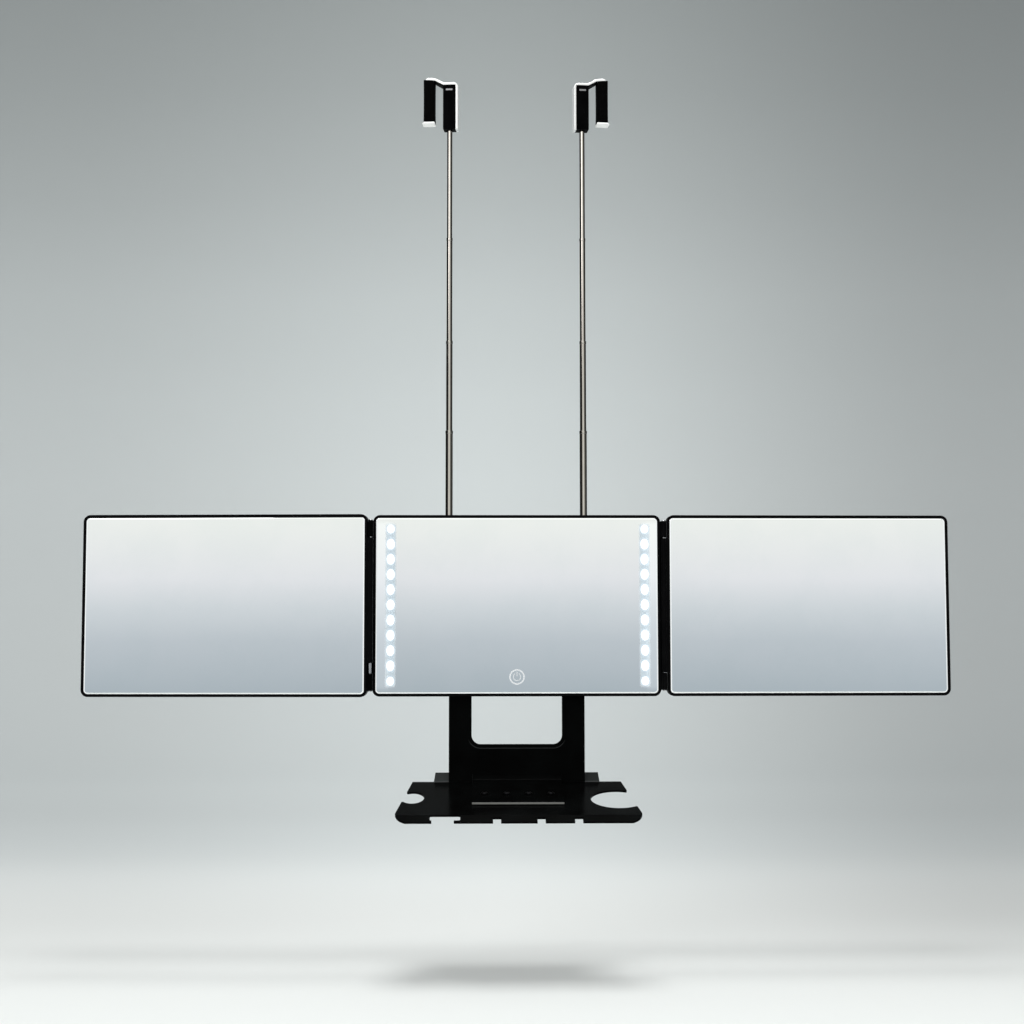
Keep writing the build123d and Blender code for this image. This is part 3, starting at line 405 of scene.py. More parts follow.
def foam(name, colour, pore):
    """Open foam: small pores from cells, matt."""
    material, f = new_finish(name)
    place = f.place()
    pores = f.cells(place, pore)
    f.surface(Base_Color=f.mix(pores.rise(0.1, 0.7), [0.5 * c for c in colour], colour),
              Roughness=0.85 + 0.1 * pores, Specular_IOR_Level=0.2, Normal=f.bump(pores, 0.1))
    return material


def frosted(name):
    """Frosted white plastic."""
    material, f = new_finish(name)
    place = f.place()
    frost = f.noise(place, 2.5, 3.0, 0.6)
    f.surface(Base_Color=f.mix(frost, tone(232, 238, 242), tone(246, 249, 250)),
              Roughness=0.5 + 0.2 * (frost - 0.5), Normal=f.bump(frost, 0.02))
    return material


def circuit(name):
    """Solder-masked board: green lacquer with slightly raised tracks and tinned pads."""
    track_pitch, pad_pitch = 1.3, 6.0
    material, f = new_finish(name)
    place = f.place()
    x, _, z = f.parts(place)
    bend = 1.5 * f.noise(place, 0.12, 1.0)
    tracks = abs(((x + bend) / track_pitch).from_step()).rise(0.30, 0.24)
    pads = abs((z / pad_pitch).from_step()).rise(0.12, 0.08) * tracks
    base = f.mix(tracks, tone(14, 74, 40), tone(24, 104, 58))
    f.surface(Base_Color=f.mix(pads, base, tone(190, 190, 186)), Metallic=pads,
              Roughness=0.35 - 0.1 * tracks, Normal=f.bump(tracks, 0.03))
    return material


def phosphor(name):
    """Light chips: a square of yellow phosphor in a white body."""
    column_x = 126.8
    material, f = new_finish(name)
    place = f.place()
    grain = f.noise(place, 5.0, 3.0, 0.6)
    x, _, z = f.parts(place)
    along = abs((z / LIGHT_PITCH + 0.5).from_step() * LIGHT_PITCH)
    middle = abs(abs(x) - column_x).rise(1.4, 1.2) * along.rise(1.2, 1.0)
    yellow = f.mix(grain, tone(240, 214, 100), tone(250, 232, 140))
    f.surface(Base_Color=f.mix(middle, tone(238, 238, 232), yellow),
              Roughness=0.4 + 0.2 * (grain - 0.5), Normal=f.bump(grain, 0.02))
    return material


def foil(name):
    """Pouch foil, softly wrinkled."""
    material, f = new_finish(name)
    place = f.place()
    wrinkles = f.noise(place, 0.16, 4.0, 0.55)
    f.surface(Base_Color=f.mix(wrinkles, tone(198, 200, 204), tone(222, 223, 226)), Metallic=0.9,
              Roughness=0.28 + 0.2 * (wrinkles - 0.5), Normal=f.bump(wrinkles, 0.5))
    return material


def insulation(name):
    """Wire insulation: red, and black for the wires on the left of the middle line."""
    material, f = new_finish(name)
    place = f.place()
    smooth = f.noise(place, 1.5)
    side = f.parts(place)[0].rise(-0.5, 0.5)
    f.surface(Base_Color=f.mix(side, tone(26, 26, 28), tone(168, 30, 28)),
              Roughness=0.4 + 0.15 * (smooth - 0.5), Normal=f.bump(smooth, 0.02))
    return material


def rubber(name, dark, light, gloss, specular, glow=0.0):
    """Soft rubber: fine matt bloom over an uneven face. glow stands in for light passing through."""
    material, f = new_finish(name)
    place = f.place()
    bloom = f.noise(place, 0.35, 4.0, 0.6).rise(0.3, 0.75)
    fine = f.noise(place, 4.5, 3.0, 0.6)
    f.surface(Base_Color=f.mix(bloom, dark, light), Roughness=gloss + 0.12 * (bloom - 0.5),
              Specular_IOR_Level=specular, Normal=f.bump(fine, 0.03),
              Emission_Color=light, Emission_Strength=glow)
    return material


STEEL_ALONG_Z = (4.0, 4.0, 0.05)
FINISHES = {
    "frame_plastic": moulded("satin_black_frame", tone(4, 4, 5), tone(8, 8, 9), 0.40, 3.0, 0.02, 0.03),
    "cover_plastic": leather_grain_cover("grained_black_cover"),
    "mirror_glass": mirror_glass("silvered_left_glass", -1),
    "tape_foam": foam("tape_foam", tone(60, 60, 60), 2.5),
    "frosted_diffuser": frosted("frosted_diffuser"),
    "circuit_board": circuit("green_board"),
    "light_chip": phosphor("phosphor_chip"),
    "touch_foam": foam("conductive_foam", tone(120, 120, 124), 3.0),
    "battery_foil": foil("pouch_foil"),
    "port_metal": drawn_metal("nickel_shell", tone(190, 190, 192), tone(214, 214, 215), 0.25,
                              (0.3, 3.0, 0.3)),
    "lead_insulation": insulation("wire_insulation"),
    "screw_steel": drawn_metal("dark_zinc", tone(112, 112, 115), tone(146, 146, 148), 0.32,
                               (3.0, 3.0, 3.0), wear=0.1),
    "hinge_steel": drawn_metal("bright_pin_steel", tone(188, 188, 190), tone(210, 210, 211), 0.2,
                               STEEL_ALONG_Z),
    "bracket_metal": powder_coat("black_powder_coat"),
    "tray_screw_black": drawn_metal("black_oxide", tone(7, 7, 8), tone(12, 12, 13), 0.45,
                                    (2.0, 2.0, 2.0), wear=0.1),
    "clevis_plastic": moulded("black_clevis", tone(12, 12, 13), tone(20, 20, 21), 0.42, 2.5, 0.03),
    # painted shade: the tubes' base colour darkens toward their outline
    "rod_steel": drawn_metal("polished_tube_steel", tone(193, 188, 181), tone(205, 200, 193), 0.08,
                             STEEL_ALONG_Z, shade=0.9),
    "strap_metal": drawn_metal("bright_strap", tone(238, 239, 238), tone(247, 248, 247), 0.3,
                               (0.1, 5.0, 0.1), metallic=0.45),
    "hook_plastic": moulded("black_hook_block", tone(3, 3, 4), tone(7, 7, 8), 0.45, 2.5, 0.03, 0.01),
    "clip_steel": drawn_metal("spring_steel", tone(126, 126, 128), tone(150, 150, 152), 0.3,
                              (4.0, 0.2, 4.0)),
    "hook_rubber": rubber("black_sleeve_rubber", tone(4, 4, 4), tone(9, 9, 9), 0.62, 0.01),
    "foot_rubber": rubber("white_cap_rubber", tone(232, 233, 231), tone(242, 243, 241), 0.55, 0.25,
                          glow=0.18),
}
LIT_GLASS = lit_mirror_glass("silvered_glass_with_lights")
SIDE_GLASS = {-1: FINISHES["mirror_glass"], 1: mirror_glass("silvered_right_glass", 1)}
BRACKET_COAT = powder_coat("black_powder_coat_painted_highlights_bracket", "bracket")
TRAY_COAT = powder_coat("black_powder_coat_painted_sheen_tray", "tray")


def dress_nodes():
    """Gives each node the finish of its slot, which its first material is named after."""
    for name, node in frame["nodes"].items():
        for holder in node.material_slots:
            holder.material = FINISHES[holder.material.name.split(".")[0]]
    for name, material in (("centre_glass", LIT_GLASS), ("left_glass", SIDE_GLASS[-1]),
                           ("right_glass", SIDE_GLASS[1]), ("bracket_plate", BRACKET_COAT),
                           ("tray", TRAY_COAT)):
        frame["nodes"][name].material_slots[0].material = material


# ---------------------------------------------------------------- shapes as grids of points
def rounded(points, radii, steps=7, closed=False):
    """Line with its corners turned on arcs.

    For t from 0 to 1, the arc from s to e about a corner p is the mean of s, p and e, weighted by
    (1 - t) ** 2, 2 w t (1 - t) and t ** 2, where w is the cosine of half the turn.
    """
    corner = np.asarray(points, float)
    radii = np.broadcast_to(np.asarray(radii, float), len(corner)).copy()
    if not closed:
        radii[[0, -1]] = 0.0
    before, after = np.roll(corner, 1, 0) - corner, np.roll(corner, -1, 0) - corner
    before /= np.linalg.norm(before, axis=1, keepdims=True)
    after /= np.linalg.norm(after, axis=1, keepdims=True)
    half = np.arccos(np.clip((before * after).sum(1), -1, 1)) / 2
    reach = (radii / np.tan(half))[:, None]
    start, end = corner + before * reach, corner + after * reach
    t = np.linspace(0, 1, steps)[None, :, None]
    pull = 2 * np.sin(half)[:, None, None] * t * (1 - t)
    line = ((1 - t) ** 2 * start[:, None] + pull * corner[:, None] + t ** 2 * end[:, None]) / (
        (1 - t) ** 2 + pull + t ** 2)
    line = line.reshape(-1, corner.shape[1])
    moved = np.linalg.norm(np.diff(line, axis=0, prepend=line[:1] - 1), axis=1) > 1e-6
    return line[moved]


def square_axes(axis):
    """Two directions square to an axis and to each other, and the axis, all of length 1."""
    axis = np.asarray(axis, float) / np.linalg.norm(axis)
    helper = np.array([1.0, 0, 0]) if abs(axis[0]) < 0.9 else np.array([0, 0, 1.0])
    first = np.cross(axis, helper)
    first /= np.linalg.norm(first)
    return first, np.cross(axis, first), axis


def spun(radii, heights, origin, axis, angles):
    """Rings round an axis: origin + r (cos a e1 + sin a e2) + h axis, where r and h may change with a."""
    first, second, along = square_axes(axis)
    r, h = np.broadcast_arrays(np.asarray(radii, float), np.asarray(heights, float))
    r, h = (np.broadcast_to(v, (len(v), len(angles)))[..., None] for v in (r, h))
    a = np.asarray(angles)[None, :, None]
    return np.asarray(origin) + r * (np.cos(a) * first + np.sin(a) * second) + h * along


def held(line, margin=0.4):
    """Line with a point just inside each end of its long runs, which keeps their shading straight."""
    points = [line[0]]
    for start, end in zip(line, line[1:]):
        share = margin / np.linalg.norm(end - start)
        if share < 0.3:
            points += [start + share * (end - start), end + share * (start - end)]
        points.append(end)
    return np.array(points)


def turned(profile, origin, axis, count):
    """Surface of revolution of a profile of (radius, height)."""
    profile = held(np.asarray(profile, float))
    angles = np.linspace(0, 2 * np.pi, count, endpoint=False)
    return spun(profile[:, :1], profile[:, 1:], origin, axis, angles)


def plan(x0, x1, half, radius, steps=6):
    """Rounded rectangle from x0 to x1 and -half to half: an arc of points about each corner's centre."""
    turn = np.linspace(0, np.pi / 2, steps)
    quarter = np.arange(4)[:, None] * np.pi / 2 + turn
    centre_x = np.array([x1 - radius, x0 + radius, x0 + radius, x1 - radius])[:, None]
    centre_y = np.array([half - radius, half - radius, radius - half, radius - half])[:, None]
    return np.stack([centre_x + radius * np.cos(quarter), centre_y + radius * np.sin(quarter)],
                    -1).reshape(-1, 2)


def lofted(levels):
    """Stack of rounded rectangles, closed by a point at each end.

    A level is (x0, x1, half depth, corner, height, tilt). Its ring's height is that height plus tilt times
    the distance from the sleeve's inner face.
    """
    rings = []
    for x0, x1, half, radius, height, tilt in levels:
        ring = plan(x0, x1, half, radius)
        rings.append(np.column_stack([ring, height + tilt * (SLEEVE_INNER - ring[:, 0])]))
    ends = [np.repeat(ring.mean(0, keepdims=True), len(ring), 0) for ring in (rings[0], rings[-1])]
    return np.stack([ends[0], *rings, ends[1]])


def swept(path, section):
    """Section of (across, out) carried along a flat path of (x, z).

    A point is the path's point plus out times the path's normal, with across as its y.
    """
    path, section = np.asarray(path, float), np.asarray(section, float)
    step = np.gradient(path, axis=0)
    step /= np.linalg.norm(step, axis=1, keepdims=True)
    normal = np.column_stack([-step[:, 1], step[:, 0]])
    flat = path[:, None] + section[None, :, 1:] * normal[:, None]
    across = np.broadcast_to(section[None, :, 0], flat.shape[:2])
    grid = np.stack([flat[..., 0], across, flat[..., 1]], -1)
    ends = [np.repeat(ring.mean(0, keepdims=True), len(section), 0) for ring in (grid[0], grid[-1])]
    return np.concatenate([ends[:1], grid, ends[1:]])


def turned_about(points, x, y, angle):
    """Points turned by an angle about an upright line."""
    c, s = math.cos(angle), math.sin(angle)
    offset = points - (x, y, 0)
    return np.stack([offset[..., 0] * c - offset[..., 1] * s + x,
                     offset[..., 0] * s + offset[..., 1] * c + y, points[..., 2]], -1)


def add_piece(name, grids, node, slot, sharp=35):
    """Mesh of closed grids that stands for a node, in the finish of a slot, and moves with the node's body.

    Each grid is rows of rings; a cell joins points j and j + 1 of rings i and i + 1, and the last point of
    a ring joins its first. Points that coincide, at poles and seams, become one.
    """
    points, cells, start = [], [], 0
    for grid in grids:
        rows, columns = grid.shape[:2]
        i, j = np.meshgrid(np.arange(rows - 1), np.arange(columns), indexing="ij")
        here, beside = start + i * columns + j, start + i * columns + (j + 1) % columns
        cells.append(np.stack([here, beside, beside + columns, here + columns], -1).reshape(-1, 4))
        points.append(grid.reshape(-1, 3))
        start += rows * columns
    mesh = bpy.data.meshes.new(name)
    mesh.from_pydata((np.concatenate(points) * MM).tolist(), [], np.concatenate(cells).tolist())
    work = bmesh.new()
    work.from_mesh(mesh)
    bmesh.ops.remove_doubles(work, verts=work.verts, dist=1e-6)
    bmesh.ops.recalc_face_normals(work, faces=work.faces)
    work.to_mesh(mesh)
    work.free()
    mesh.shade_smooth()
    mesh.set_sharp_from_angle(angle=math.radians(sharp))
    mesh.materials.append(FINISHES[slot])
    piece = bpy.data.objects.new(name, mesh)
    bpy.context.scene.collection.objects.link(piece)
    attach(piece, frame["nodes"][node]["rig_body"])
    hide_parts(node)


# ---------------------------------------------------------------- rods
def side_name(side):
    return "left" if side < 0 else "right"


def tube_grid(x, outer, wall, bottom, top):
    """Telescopic tube: profile up the outer face, over a rolled collar, and down the bore to its start."""
    inner, lip = outer - wall, outer + 0.25
    profile = rounded(
        [(inner, bottom), (outer, bottom), (outer, top - 3.0), (lip, top - 2.8), (lip, top),
         (inner, top)], [0.04, 0.1, 0.12, 0.2, 0.25, 0.08], 6, closed=True)
    return turned(np.vstack([profile, profile[:1]]), (x, ROD_Y, 0), (0, 0, 1), 72)


def make_rods():
    """Three tubes, a solid end rod and a fold pin on each side, all turned from profiles."""
    for side in (-1, 1):
        x, word = side * ROD_X, side_name(side)
        for number, (stage, outer, wall, bottom, top) in enumerate(TUBES, 1):
            add_piece(f"{stage}_tube_{word}", [tube_grid(x, outer, wall, bottom, top)],
                      f"{word}_rod_tube_{number}", "rod_steel")
        tip = rounded([(0, 367.3), (2.7, 367.3), (2.7, 533.65), (1.8, 533.65), (1.8, 535.45),
                       (2.7, 535.45), (2.7, 537.45), (0, 537.45)],
                      [0, 0.4, 0.1, 0.15, 0.15, 0.1, 0.4, 0])
        add_piece(f"end_rod_{word}", [turned(tip, (x, ROD_Y, 0), (0, 0, 1), 72)],
                  f"{word}_rod_tip", "rod_steel")
        pin = rounded([(0, -8.3), (2.6, -8.3), (2.6, -7.1), (1.5, -7.1), (1.5, 7.1), (2.6, 7.1),
                       (2.6, 8.3), (0, 8.3)], [0, 0.5, 0.15, 0.1, 0.1, 0.15, 0.5, 0])
        add_piece(f"fold_pin_{word}", [turned(pin, (x, ROD_Y, PIVOT_Z), (1, 0, 0), 48)],
                  f"{word}_rod_pivot_pin", "hinge_steel")


def make_hinge_pins():
    """Hinge pins turned from a profile, with a rounded head at each end."""
    profile = rounded([(0, -85.2), (1.9, -85.2), (1.9, -84.2), (1.25, -84.2), (1.25, 84.2),
                       (1.9, 84.2), (1.9, 85.2), (0, 85.2)], [0, 0.6, 0.1, 0.1, 0.1, 0.1, 0.6, 0])
    for side, (x, y, *_) in HINGES.items():
        word = side_name(side)
        add_piece(f"domed_hinge_pin_{word}", [turned(profile, (x, y, 0), (0, 0, 1), 40)],
                  f"{word}_hinge_pin", "hinge_steel")


# ---------------------------------------------------------------- hooks
def hook_placed(side, grid):
    """From the left hook's own rod axis to its place; the right hook is its mirror image."""
    placed = turned_about(grid, 0, 0, -HOOK_TURN) + (-ROD_X, ROD_Y, 0)
    return placed * (-side, 1, 1)


def make_hooks():
    """Bent strap, soft sleeve on its free limb and white cap on its end."""
    strap_path = rounded([(-24.65, 499.8), (-24.65, 546.75), (-14.85, 545.66), (-6.12, 540.9),
                          (7.75, 540.9), (7.75, 492.8)], [0, 3.3, 3.3, 3.3, 3.3, 0], 14)
    strap_section = plan(-5.45, 5.45, 1.3, 0.5)
    left, lip, right, half = -26.85, -28.25, SLEEVE_INNER, 6.25
    sleeve = [(left + d, right - 0.05 - d, half - d, 1.6 - 0.7 * d, z, tilt) for d, z, tilt in (
        (0.55, 501.0, 0), (0.2, 501.12, 0), (0.05, 501.4, 0), (0.0, 502.0, 0), (0.12, 510.0, 0),
        (0.15, 521.0, 0), (0.12, 534.0, 0), (0.0, 543.2, SLEEVE_TILT), (0.06, 544.0, SLEEVE_TILT),
        (0.25, 544.3, SLEEVE_TILT), (0.6, 544.4, SLEEVE_TILT))]
    cap = [(x0, x1, deep, corner, z, 0) for x0, x1, deep, corner, z in (
        (lip + 0.5, right - 0.5, 5.75, 1.0, 499.0), (lip + 0.15, right - 0.15, 6.1, 1.1, 499.08),
        (lip, right, half, 1.12, 499.25), (lip, right, half, 1.12, 499.68),
        (lip + 0.12, right, half, 1.12, 499.84), (lip + 0.4, right, 6.2, 1.1, 499.9),
        (left - 0.35, right, 6.2, 1.1, 499.9), (left - 0.08, right, 6.2, 1.1, 500.0),
        (left, right, 6.2, 1.1, 500.2), (left, right, 6.2, 1.1, 500.75),
        (left + 0.1, right - 0.1, 6.1, 1.1, 500.9), (left + 0.3, right - 0.3, 5.95, 1.0, 500.95))]
    for side in (-1, 1):
        word = side_name(side)
        add_piece(f"bent_strap_{word}", [hook_placed(side, swept(strap_path, strap_section))],
                  f"{word}_hook_strap", "strap_metal")
        add_piece(f"soft_sleeve_{word}", [hook_placed(side, lofted(sleeve))],
                  f"{word}_hook_sleeve", "hook_rubber", 50)
        add_piece(f"white_cap_{word}", [hook_placed(side, lofted(cap))],
                  f"{word}_hook_foot", "foot_rubber", 50)


# ---------------------------------------------------------------- screws and nuts
def cross_edge(width, reach):
    """Angles and radii of a cross recess: the nearer of the arm's end and its side in each eighth."""
    corner = math.atan2(width, reach)
    eighth = np.array([0, corner * 0.5, corner * 0.98, corner * 1.02, 0.5 * (corner + np.pi / 4),
                       np.pi / 4])
    quarter = np.concatenate([eighth, np.pi / 2 - eighth[-2:0:-1]])
    angles = (np.arange(4)[:, None] * np.pi / 2 + quarter).ravel()
    fold = np.abs((angles + np.pi / 4) % (np.pi / 2) - np.pi / 4)
    edge = np.minimum(reach / np.cos(fold), width / np.maximum(np.sin(fold), 1e-6))
    return angles, edge


def hexagon_edge(apothem, per_side=8):
    """Angles and radii of a hexagon: apothem / cos of the angle from the side's middle."""
    angles = np.arange(6 * per_side) * np.pi / (3 * per_side)
    fold = (angles + np.pi / 6) % (np.pi / 3) - np.pi / 6
    return angles, apothem / np.cos(fold)


def headed(rings, angles, edge, origin, axis):
    """Head and shank from rings of (circle, share, height): a radius is circle plus share times edge."""
    circles, shares, heights = np.array(rings, float).T
    return spun(circles[:, None] + np.outer(shares, edge), heights[:, None], origin, axis, angles)


def crossed_screw(origin, axis, radius, head, length):
    """Countersunk screw: rings over the cross recess's floor, up its wall, over the head and down."""
    angles, edge = cross_edge(0.16 * head, 0.62 * head)
    rings = [(0, 0, -0.5 * head), (0, 0.6, -0.5 * head), (0, 0.97, -0.03 * head), (0, 1.06, 0),
             (0.82 * head, 0, 0), (0.97 * head, 0, -0.02 * head), (head, 0, -0.06 * head),
             (radius, 0, radius - head), (radius, 0, 0.7 - length), (0.5 * radius, 0, -length),
             (0, 0, -length)]
    return headed(rings, angles, edge, origin, axis)


def socket_screw(origin, axis):
    """Button-head screw with a hexagon socket, its shank reaching 5.8 mm below the head's foot.

    At the angle t round the dome the radius is 3.8 sin(t) ** 0.8 and the height 2 cos(t) ** 0.9 + 0.2.
    """
    angles, edge = hexagon_edge(1.25)
    t = np.linspace(0.25, 1.0, 9)[1:] * np.pi / 2
    dome = np.column_stack([3.8 * np.sin(t) ** 0.8, 0 * t, 2.0 * np.cos(t) ** 0.9 + 0.2])
    rings = [(0, 0, 0.7), (0, 0.9, 0.85), (0, 1, 2.1), (0, 1.08, 2.2), (1.75, 0, 2.18), *dome,
             (3.8, 0, 0.1), (3.6, 0, 0), (2.0, 0, 0), (2.0, 0, -5.3), (1.6, 0, -5.8), (0, 0, -5.8)]
    return headed(rings, angles, edge, origin, axis)


def peg(origin):
    """Shoulder screw: domed head with a cross recess, a thick shoulder and a thinner shank."""
    angles, edge = cross_edge(0.6, 2.3)
    rings = [(0, 0, 0.5), (0, 0.6, 0.6), (0, 0.97, 1.85), (0, 1.05, 1.98), (3.2, 0, 1.9), (4.0, 0, 1.6),
             (4.4, 0, 1.1), (4.4, 0, 0.12), (4.3, 0, 0), (2.5, 0, 0), (2.5, 0, -3.6), (1.5, 0, -3.6),
             (1.5, 0, -9.6), (0, 0, -9.6)]
    return headed(rings, angles, edge, origin, (0, 1, 0))


def nut(origin, axis):
    """Hexagon nut whose corners are cut by a cone: a rim point's height falls as it lies past 3.4 mm."""
    angles, edge = hexagon_edge(3.5)
    level = np.zeros_like(edge)
    bore, mouth, face = level + 2.05, level + 2.4, level + 3.4
    fall = np.maximum(edge - face, 0) * 0.55
    radii = np.stack([bore, mouth, face, edge, edge, face, mouth, bore, bore])
    heights = np.stack([level - 0.35, level, level, -fall, fall - 3.2, level - 3.2, level - 3.2,
                        level - 2.85, level - 0.35])
    return spun(radii, heights, origin, axis, angles)


def boss_points(half_width):
    """The eight screws of a cover, as rows of (x, y, z)."""
    return np.array([(x, 0, z) for x in (-half_width, -60.0, 60.0, half_width) for z in (-84.4, 84.4)])


def make_screws():
    """Cover, post, bracket and tray screws, the tray's pegs and the nuts under it."""
    # shank radius, head radius and length of the crossed screws
    cover_size, post_size, rod_size = (1.1, 2.2, 7.0), (1.1, 2.2, 6.0), (1.5, 2.9, 8.6)
    add_piece("crossed_cover_screws_centre",
              [crossed_screw(place, (0, 1, 0), *cover_size) for place in boss_points(137.9)],
              "centre_cover_screws", "screw_steel")
    for side, (x, y, degrees, middle, shift) in HINGES.items():
        angle = math.radians(degrees)
        places = turned_about(boss_points(136.5) + (middle, shift, 0), x, y, angle)
        axis = (-math.sin(angle), math.cos(angle), 0)
        word = side_name(side)
        add_piece(f"crossed_cover_screws_{word}",
                  [crossed_screw(place, axis, *cover_size) for place in places],
                  f"{word}_cover_screws", "screw_steel")
    add_piece("crossed_post_screws",
              [crossed_screw((-146, -6.5, z), (-1, 0, 0), *post_size) for z in (-62, 0, 62)],
              "hinge_post_screws", "screw_steel")
    add_piece("crossed_rod_bracket_screws",
              [crossed_screw((x, 3, z), (0, 1, 0), *rod_size) for x in (-ROD_X, ROD_X) for z in (40, 60)],
              "rod_clevis_screws", "screw_steel")
    sine, cosine = math.sin(TRAY_SLOPE), math.cos(TRAY_SLOPE)
    tilt, slope = np.array([0, -sine, cosine]), np.array([0, -cosine, -sine])
    down_slope, head_seat, nut_seat = 45.0, 2.55, -2.0
    row = np.array([0, PLATE_BACK, TRAY_FOLD]) + down_slope * slope
    places = [row + (x, 0, 0) for x in (-32.4, -10.8, 10.8, 32.4)]
    add_piece("socket_tray_screws", [socket_screw(place + head_seat * tilt, tilt) for place in places],
              "tray_screws", "tray_screw_black")
    add_piece("chamfered_tray_nuts", [nut(place + nut_seat * tilt, tilt) for place in places],
              "tray_nuts", "screw_steel")
    add_piece("crossed_tray_pegs", [peg((x, 3.6, z)) for x in (-56.7, 56.7) for z in (-50, -72)],
              "tray_pegs", "screw_steel")


# ---------------------------------------------------------------- studio
def make_stage():
    """Floor that curves up into a wall, as one sheet, in metres.

    Along its length t the curve's angle is 90 degrees times 3 t ** 2 - 2 t ** 3, so that it starts and
    ends gently. The paint's tone goes with height, a painted falloff of light that darkens it towards the
    top.
    The floor near the front is painted lighter, and painted shade darkens it along the far floor and
    towards the sides, most of all to the right.
    """
    floor, front, start, reach, top, half = -0.355, -4.6, 1.8, 1.3, 3.4, 5.0
    count, rises = 24, 6
    t = np.linspace(0, 1, 48)
    angle = np.pi / 2 * (3 * t ** 2 - 2 * t ** 3)
    steps = np.column_stack([np.cos(angle), np.sin(angle)])
    curve = np.vstack([[0, 0], np.cumsum((steps[1:] + steps[:-1]) / 2, axis=0)])
    curve = (start, floor) + curve * reach / curve[-1, 0]
    flat = np.column_stack([np.linspace(front, start, count), np.full(count, floor)])
    wall = np.column_stack([np.full(rises, curve[-1, 0]), np.linspace(curve[-1, 1], top, rises)])
    line = np.vstack([flat[:-1], curve, wall[1:]])
    across = np.repeat(np.linspace(-half, half, count), len(line))
    grid = np.column_stack([across, np.tile(line, (count, 1))])
    i, j = np.meshgrid(np.arange(count - 1), np.arange(len(line) - 1), indexing="ij")
    here = i * len(line) + j
    cells = np.stack([here, here + len(line), here + len(line) + 1, here + 1], -1).reshape(-1, 4)
    mesh = bpy.data.meshes.new("studio_sweep")
    mesh.from_pydata(grid.tolist(), [], cells.tolist())
    mesh.shade_smooth()
    material, f = new_finish("pale_studio_paint_with_painted_shade")
    place = f.add("ShaderNodeTexCoord", output="Object")
    x, y, z = f.parts(place)
    # painted light falloff: the paint darkens higher up the wall
    height = f.add("ShaderNodeValToRGB", {"stops": [
        (0.0, tone(221, 227, 227)), (0.25, tone(226, 232, 232)), (0.38, tone(224, 230, 230)),
        (0.53, tone(216, 222, 222)), (0.68, tone(200, 206, 206)), (0.85, tone(185, 191, 191)),
        (1.0, tone(175, 181, 181))]}, {"Fac": (z + 0.1) / 2.0})
    # painted light: the floor near the front is lighter
    near = y.rise(1.0, 0.2)
    # aside grows with x and shrinks with the distance from a place 1.61 m in front
    aside = 4.7 * x / (y.highest(-1.0) + 1.61)
    # painted shade towards the sides, most of all to the right
    fall = (0.36 * aside.rise(-0.1, 1.5)).highest(0.18 * aside.rise(0.0, -1.3)) * y.rise(-0.3, 0.3)
    cloud = f.noise(place, 1.2)
    # painted shade along the far floor
    far = y.rise(0.45, 0.8) * y.rise(1.9, 1.2)
    shade = f.mix(0.14 * far, height, tone(100, 104, 104))
    shade = f.mix(near, shade, tone(224, 227, 225))
    shade = f.mix(fall, shade, tone(40, 42, 46))
    f.surface(Base_Color=f.mix(cloud * 0.06, shade, tone(190, 195, 196)), Roughness=0.75,
              Specular_IOR_Level=0.1)
    mesh.materials.append(material)
    sweep = bpy.data.objects.new("studio_sweep", mesh)
    bpy.context.scene.collection.objects.link(sweep)


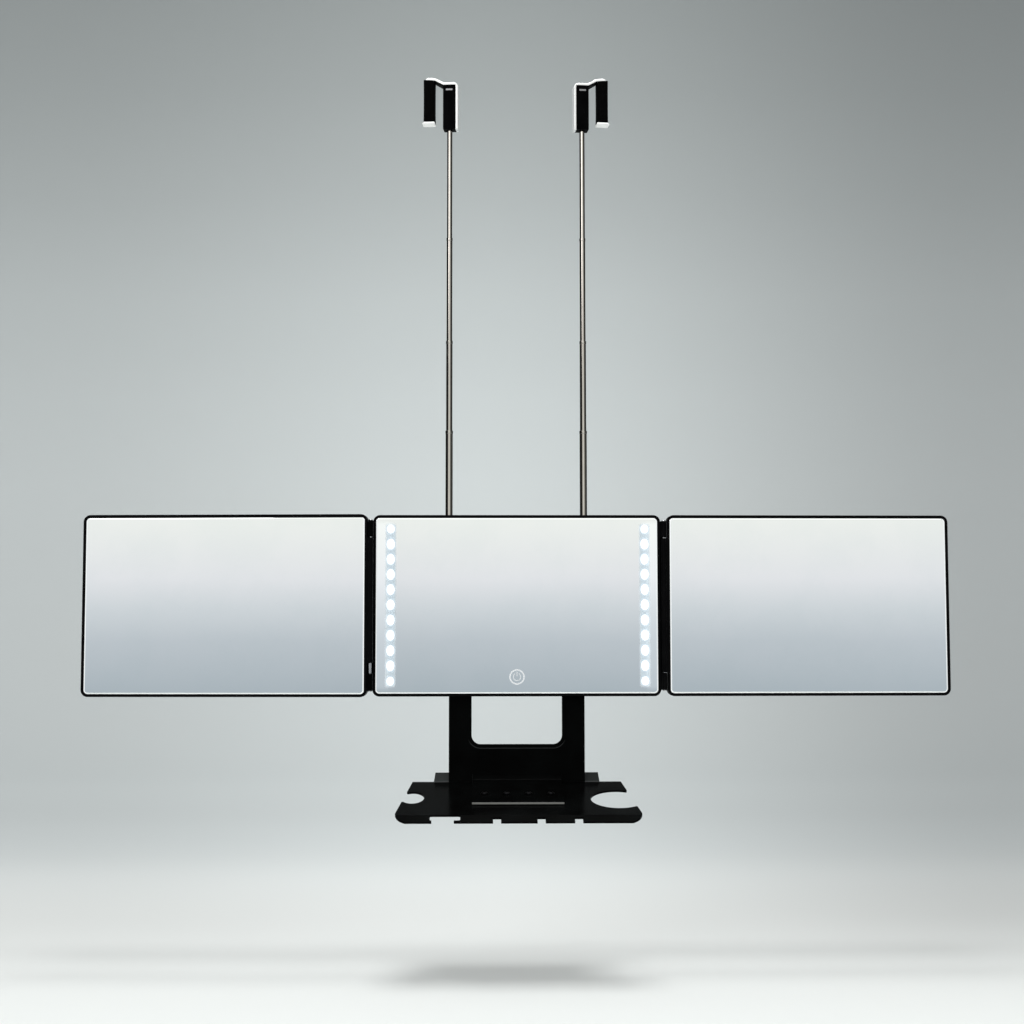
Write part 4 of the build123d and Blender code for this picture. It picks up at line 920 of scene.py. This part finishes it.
def make_world():
    """Even light all round, which is a pale wall where it is seen directly.

    Metal and glass see it as a tall pale room: warm white above eye level and blue-grey just below it, with
    a brighter panel high in front and a dark flag at each side, the left one darker. height is in degrees
    above eye level, and side in degrees round from the front.
    """
    room_light = 0.765
    world = bpy.data.worlds.new("soft_room")
    bpy.context.scene.world = world
    f = Finish(world)
    x, y, z = f.parts(f.add("ShaderNodeTexCoord", output="Generated"))
    height = RADIAN * z.maths("ARCSINE", z)
    side = RADIAN * x.maths("ARCTAN2", x, 0.0 - y)
    seen = f.add("ShaderNodeValToRGB", {"stops": [
        (0.0, tone(222, 226, 228)), (0.22, tone(170, 181, 188)), (0.38, tone(173, 183, 190)),
        (0.48, tone(193, 200, 206)), (0.54, tone(213, 218, 222)), (0.59, tone(232, 233, 236)),
        (0.71, tone(245, 247, 242)), (1.0, tone(247, 248, 245))]},
        {"Fac": (height + 10.0) / 20.0})
    path = f.add("ShaderNodeLightPath", output="Is Camera Ray").socket.node
    camera, glossy, through = (Signal(f, path.outputs[word]) for word in (
        "Is Camera Ray", "Is Glossy Ray", "Is Transmission Ray"))
    wide = abs(side)
    flags = wide.rise(22.0, 36.0) * wide.rise(150.0, 125.0)
    flags = flags * height.rise(-3.0, 1.0) * height.rise(60.0, 45.0)
    flags = flags * (0.80 + 0.16 * side.rise(5.0, -5.0)) * glossy
    dimmed = f.mix(flags, seen, tone(0, 0, 0))
    wall = f.mix(height.rise(-5.0, 35.0), tone(216, 221, 221), tone(188, 194, 194))
    dimmed = f.mix(camera, dimmed, wall)
    lamp = height.rise(7.0, 18.0) * wide.rise(34.0, 26.0) * glossy
    view = f.add("ShaderNodeBackground", None, {"Color": dimmed, "Strength": 1.0 + 0.35 * lamp})
    light = f.add("ShaderNodeBackground", None, {"Color": (1.0, 1.0, 1.0), "Strength": room_light})
    shown = (camera + glossy + through).lowest(1.0)
    both = f.add("ShaderNodeMixShader", None, {"Fac": shown, "Shader": light, "Shader_001": view})
    f.add_output("ShaderNodeOutputWorld", both)


def placed(axes, place):
    """Matrix that turns an object's x, y and z to the given axes and puts it at a place."""
    return Matrix([[*row, step] for row, step in zip(np.column_stack(axes), place)] + [[0, 0, 0, 1]])


def add_lamp(name, place, aim, width, height, watts):
    """Rectangular lamp at a place, turned to face a point."""
    lamp = bpy.data.lights.new(name, "AREA")
    lamp.shape, lamp.size, lamp.size_y, lamp.energy = "RECTANGLE", width, height, watts
    holder = bpy.data.objects.new(name, lamp)
    holder.matrix_world = placed(square_axes(np.subtract(place, aim)), place)
    bpy.context.scene.collection.objects.link(holder)


def make_camera():
    """Eye-level view from 1.6 m, pitched up 4.2 degrees."""
    pitch, yaw, roll = map(math.radians, (4.208, 0.96, -0.05))
    forward = np.array([math.sin(yaw) * math.cos(pitch), math.cos(yaw) * math.cos(pitch), math.sin(pitch)])
    level = np.array([math.cos(yaw), -math.sin(yaw), 0.0])
    upright = np.cross(level, forward)
    right = math.cos(roll) * level + math.sin(roll) * upright
    up = np.cross(right, forward)
    lens = bpy.data.cameras.new("camera")
    lens.sensor_width, lens.lens = 36.0, 56.25
    camera = bpy.data.objects.new("camera", lens)
    camera.matrix_world = placed((right, up, -forward), (-0.03169, -1.61427, -0.02429))
    bpy.context.scene.collection.objects.link(camera)
    bpy.context.scene.camera = camera


make_camera()
dress_nodes()
make_rods()
make_hinge_pins()
make_hooks()
make_screws()
make_stage()
make_world()
add_lamp("overhead_softbox", (0.0, -0.1, 2.1), (0.0, 0.0, 0.0), 1.0, 0.8, 32.0)
add_lamp("front_softbox", (-1.5, -2.3, 1.5), (0.0, 0.0, 0.1), 1.3, 1.3, 12.0)
bpy.context.scene.view_settings.view_transform = "Standard"
bpy.context.view_layer.update()
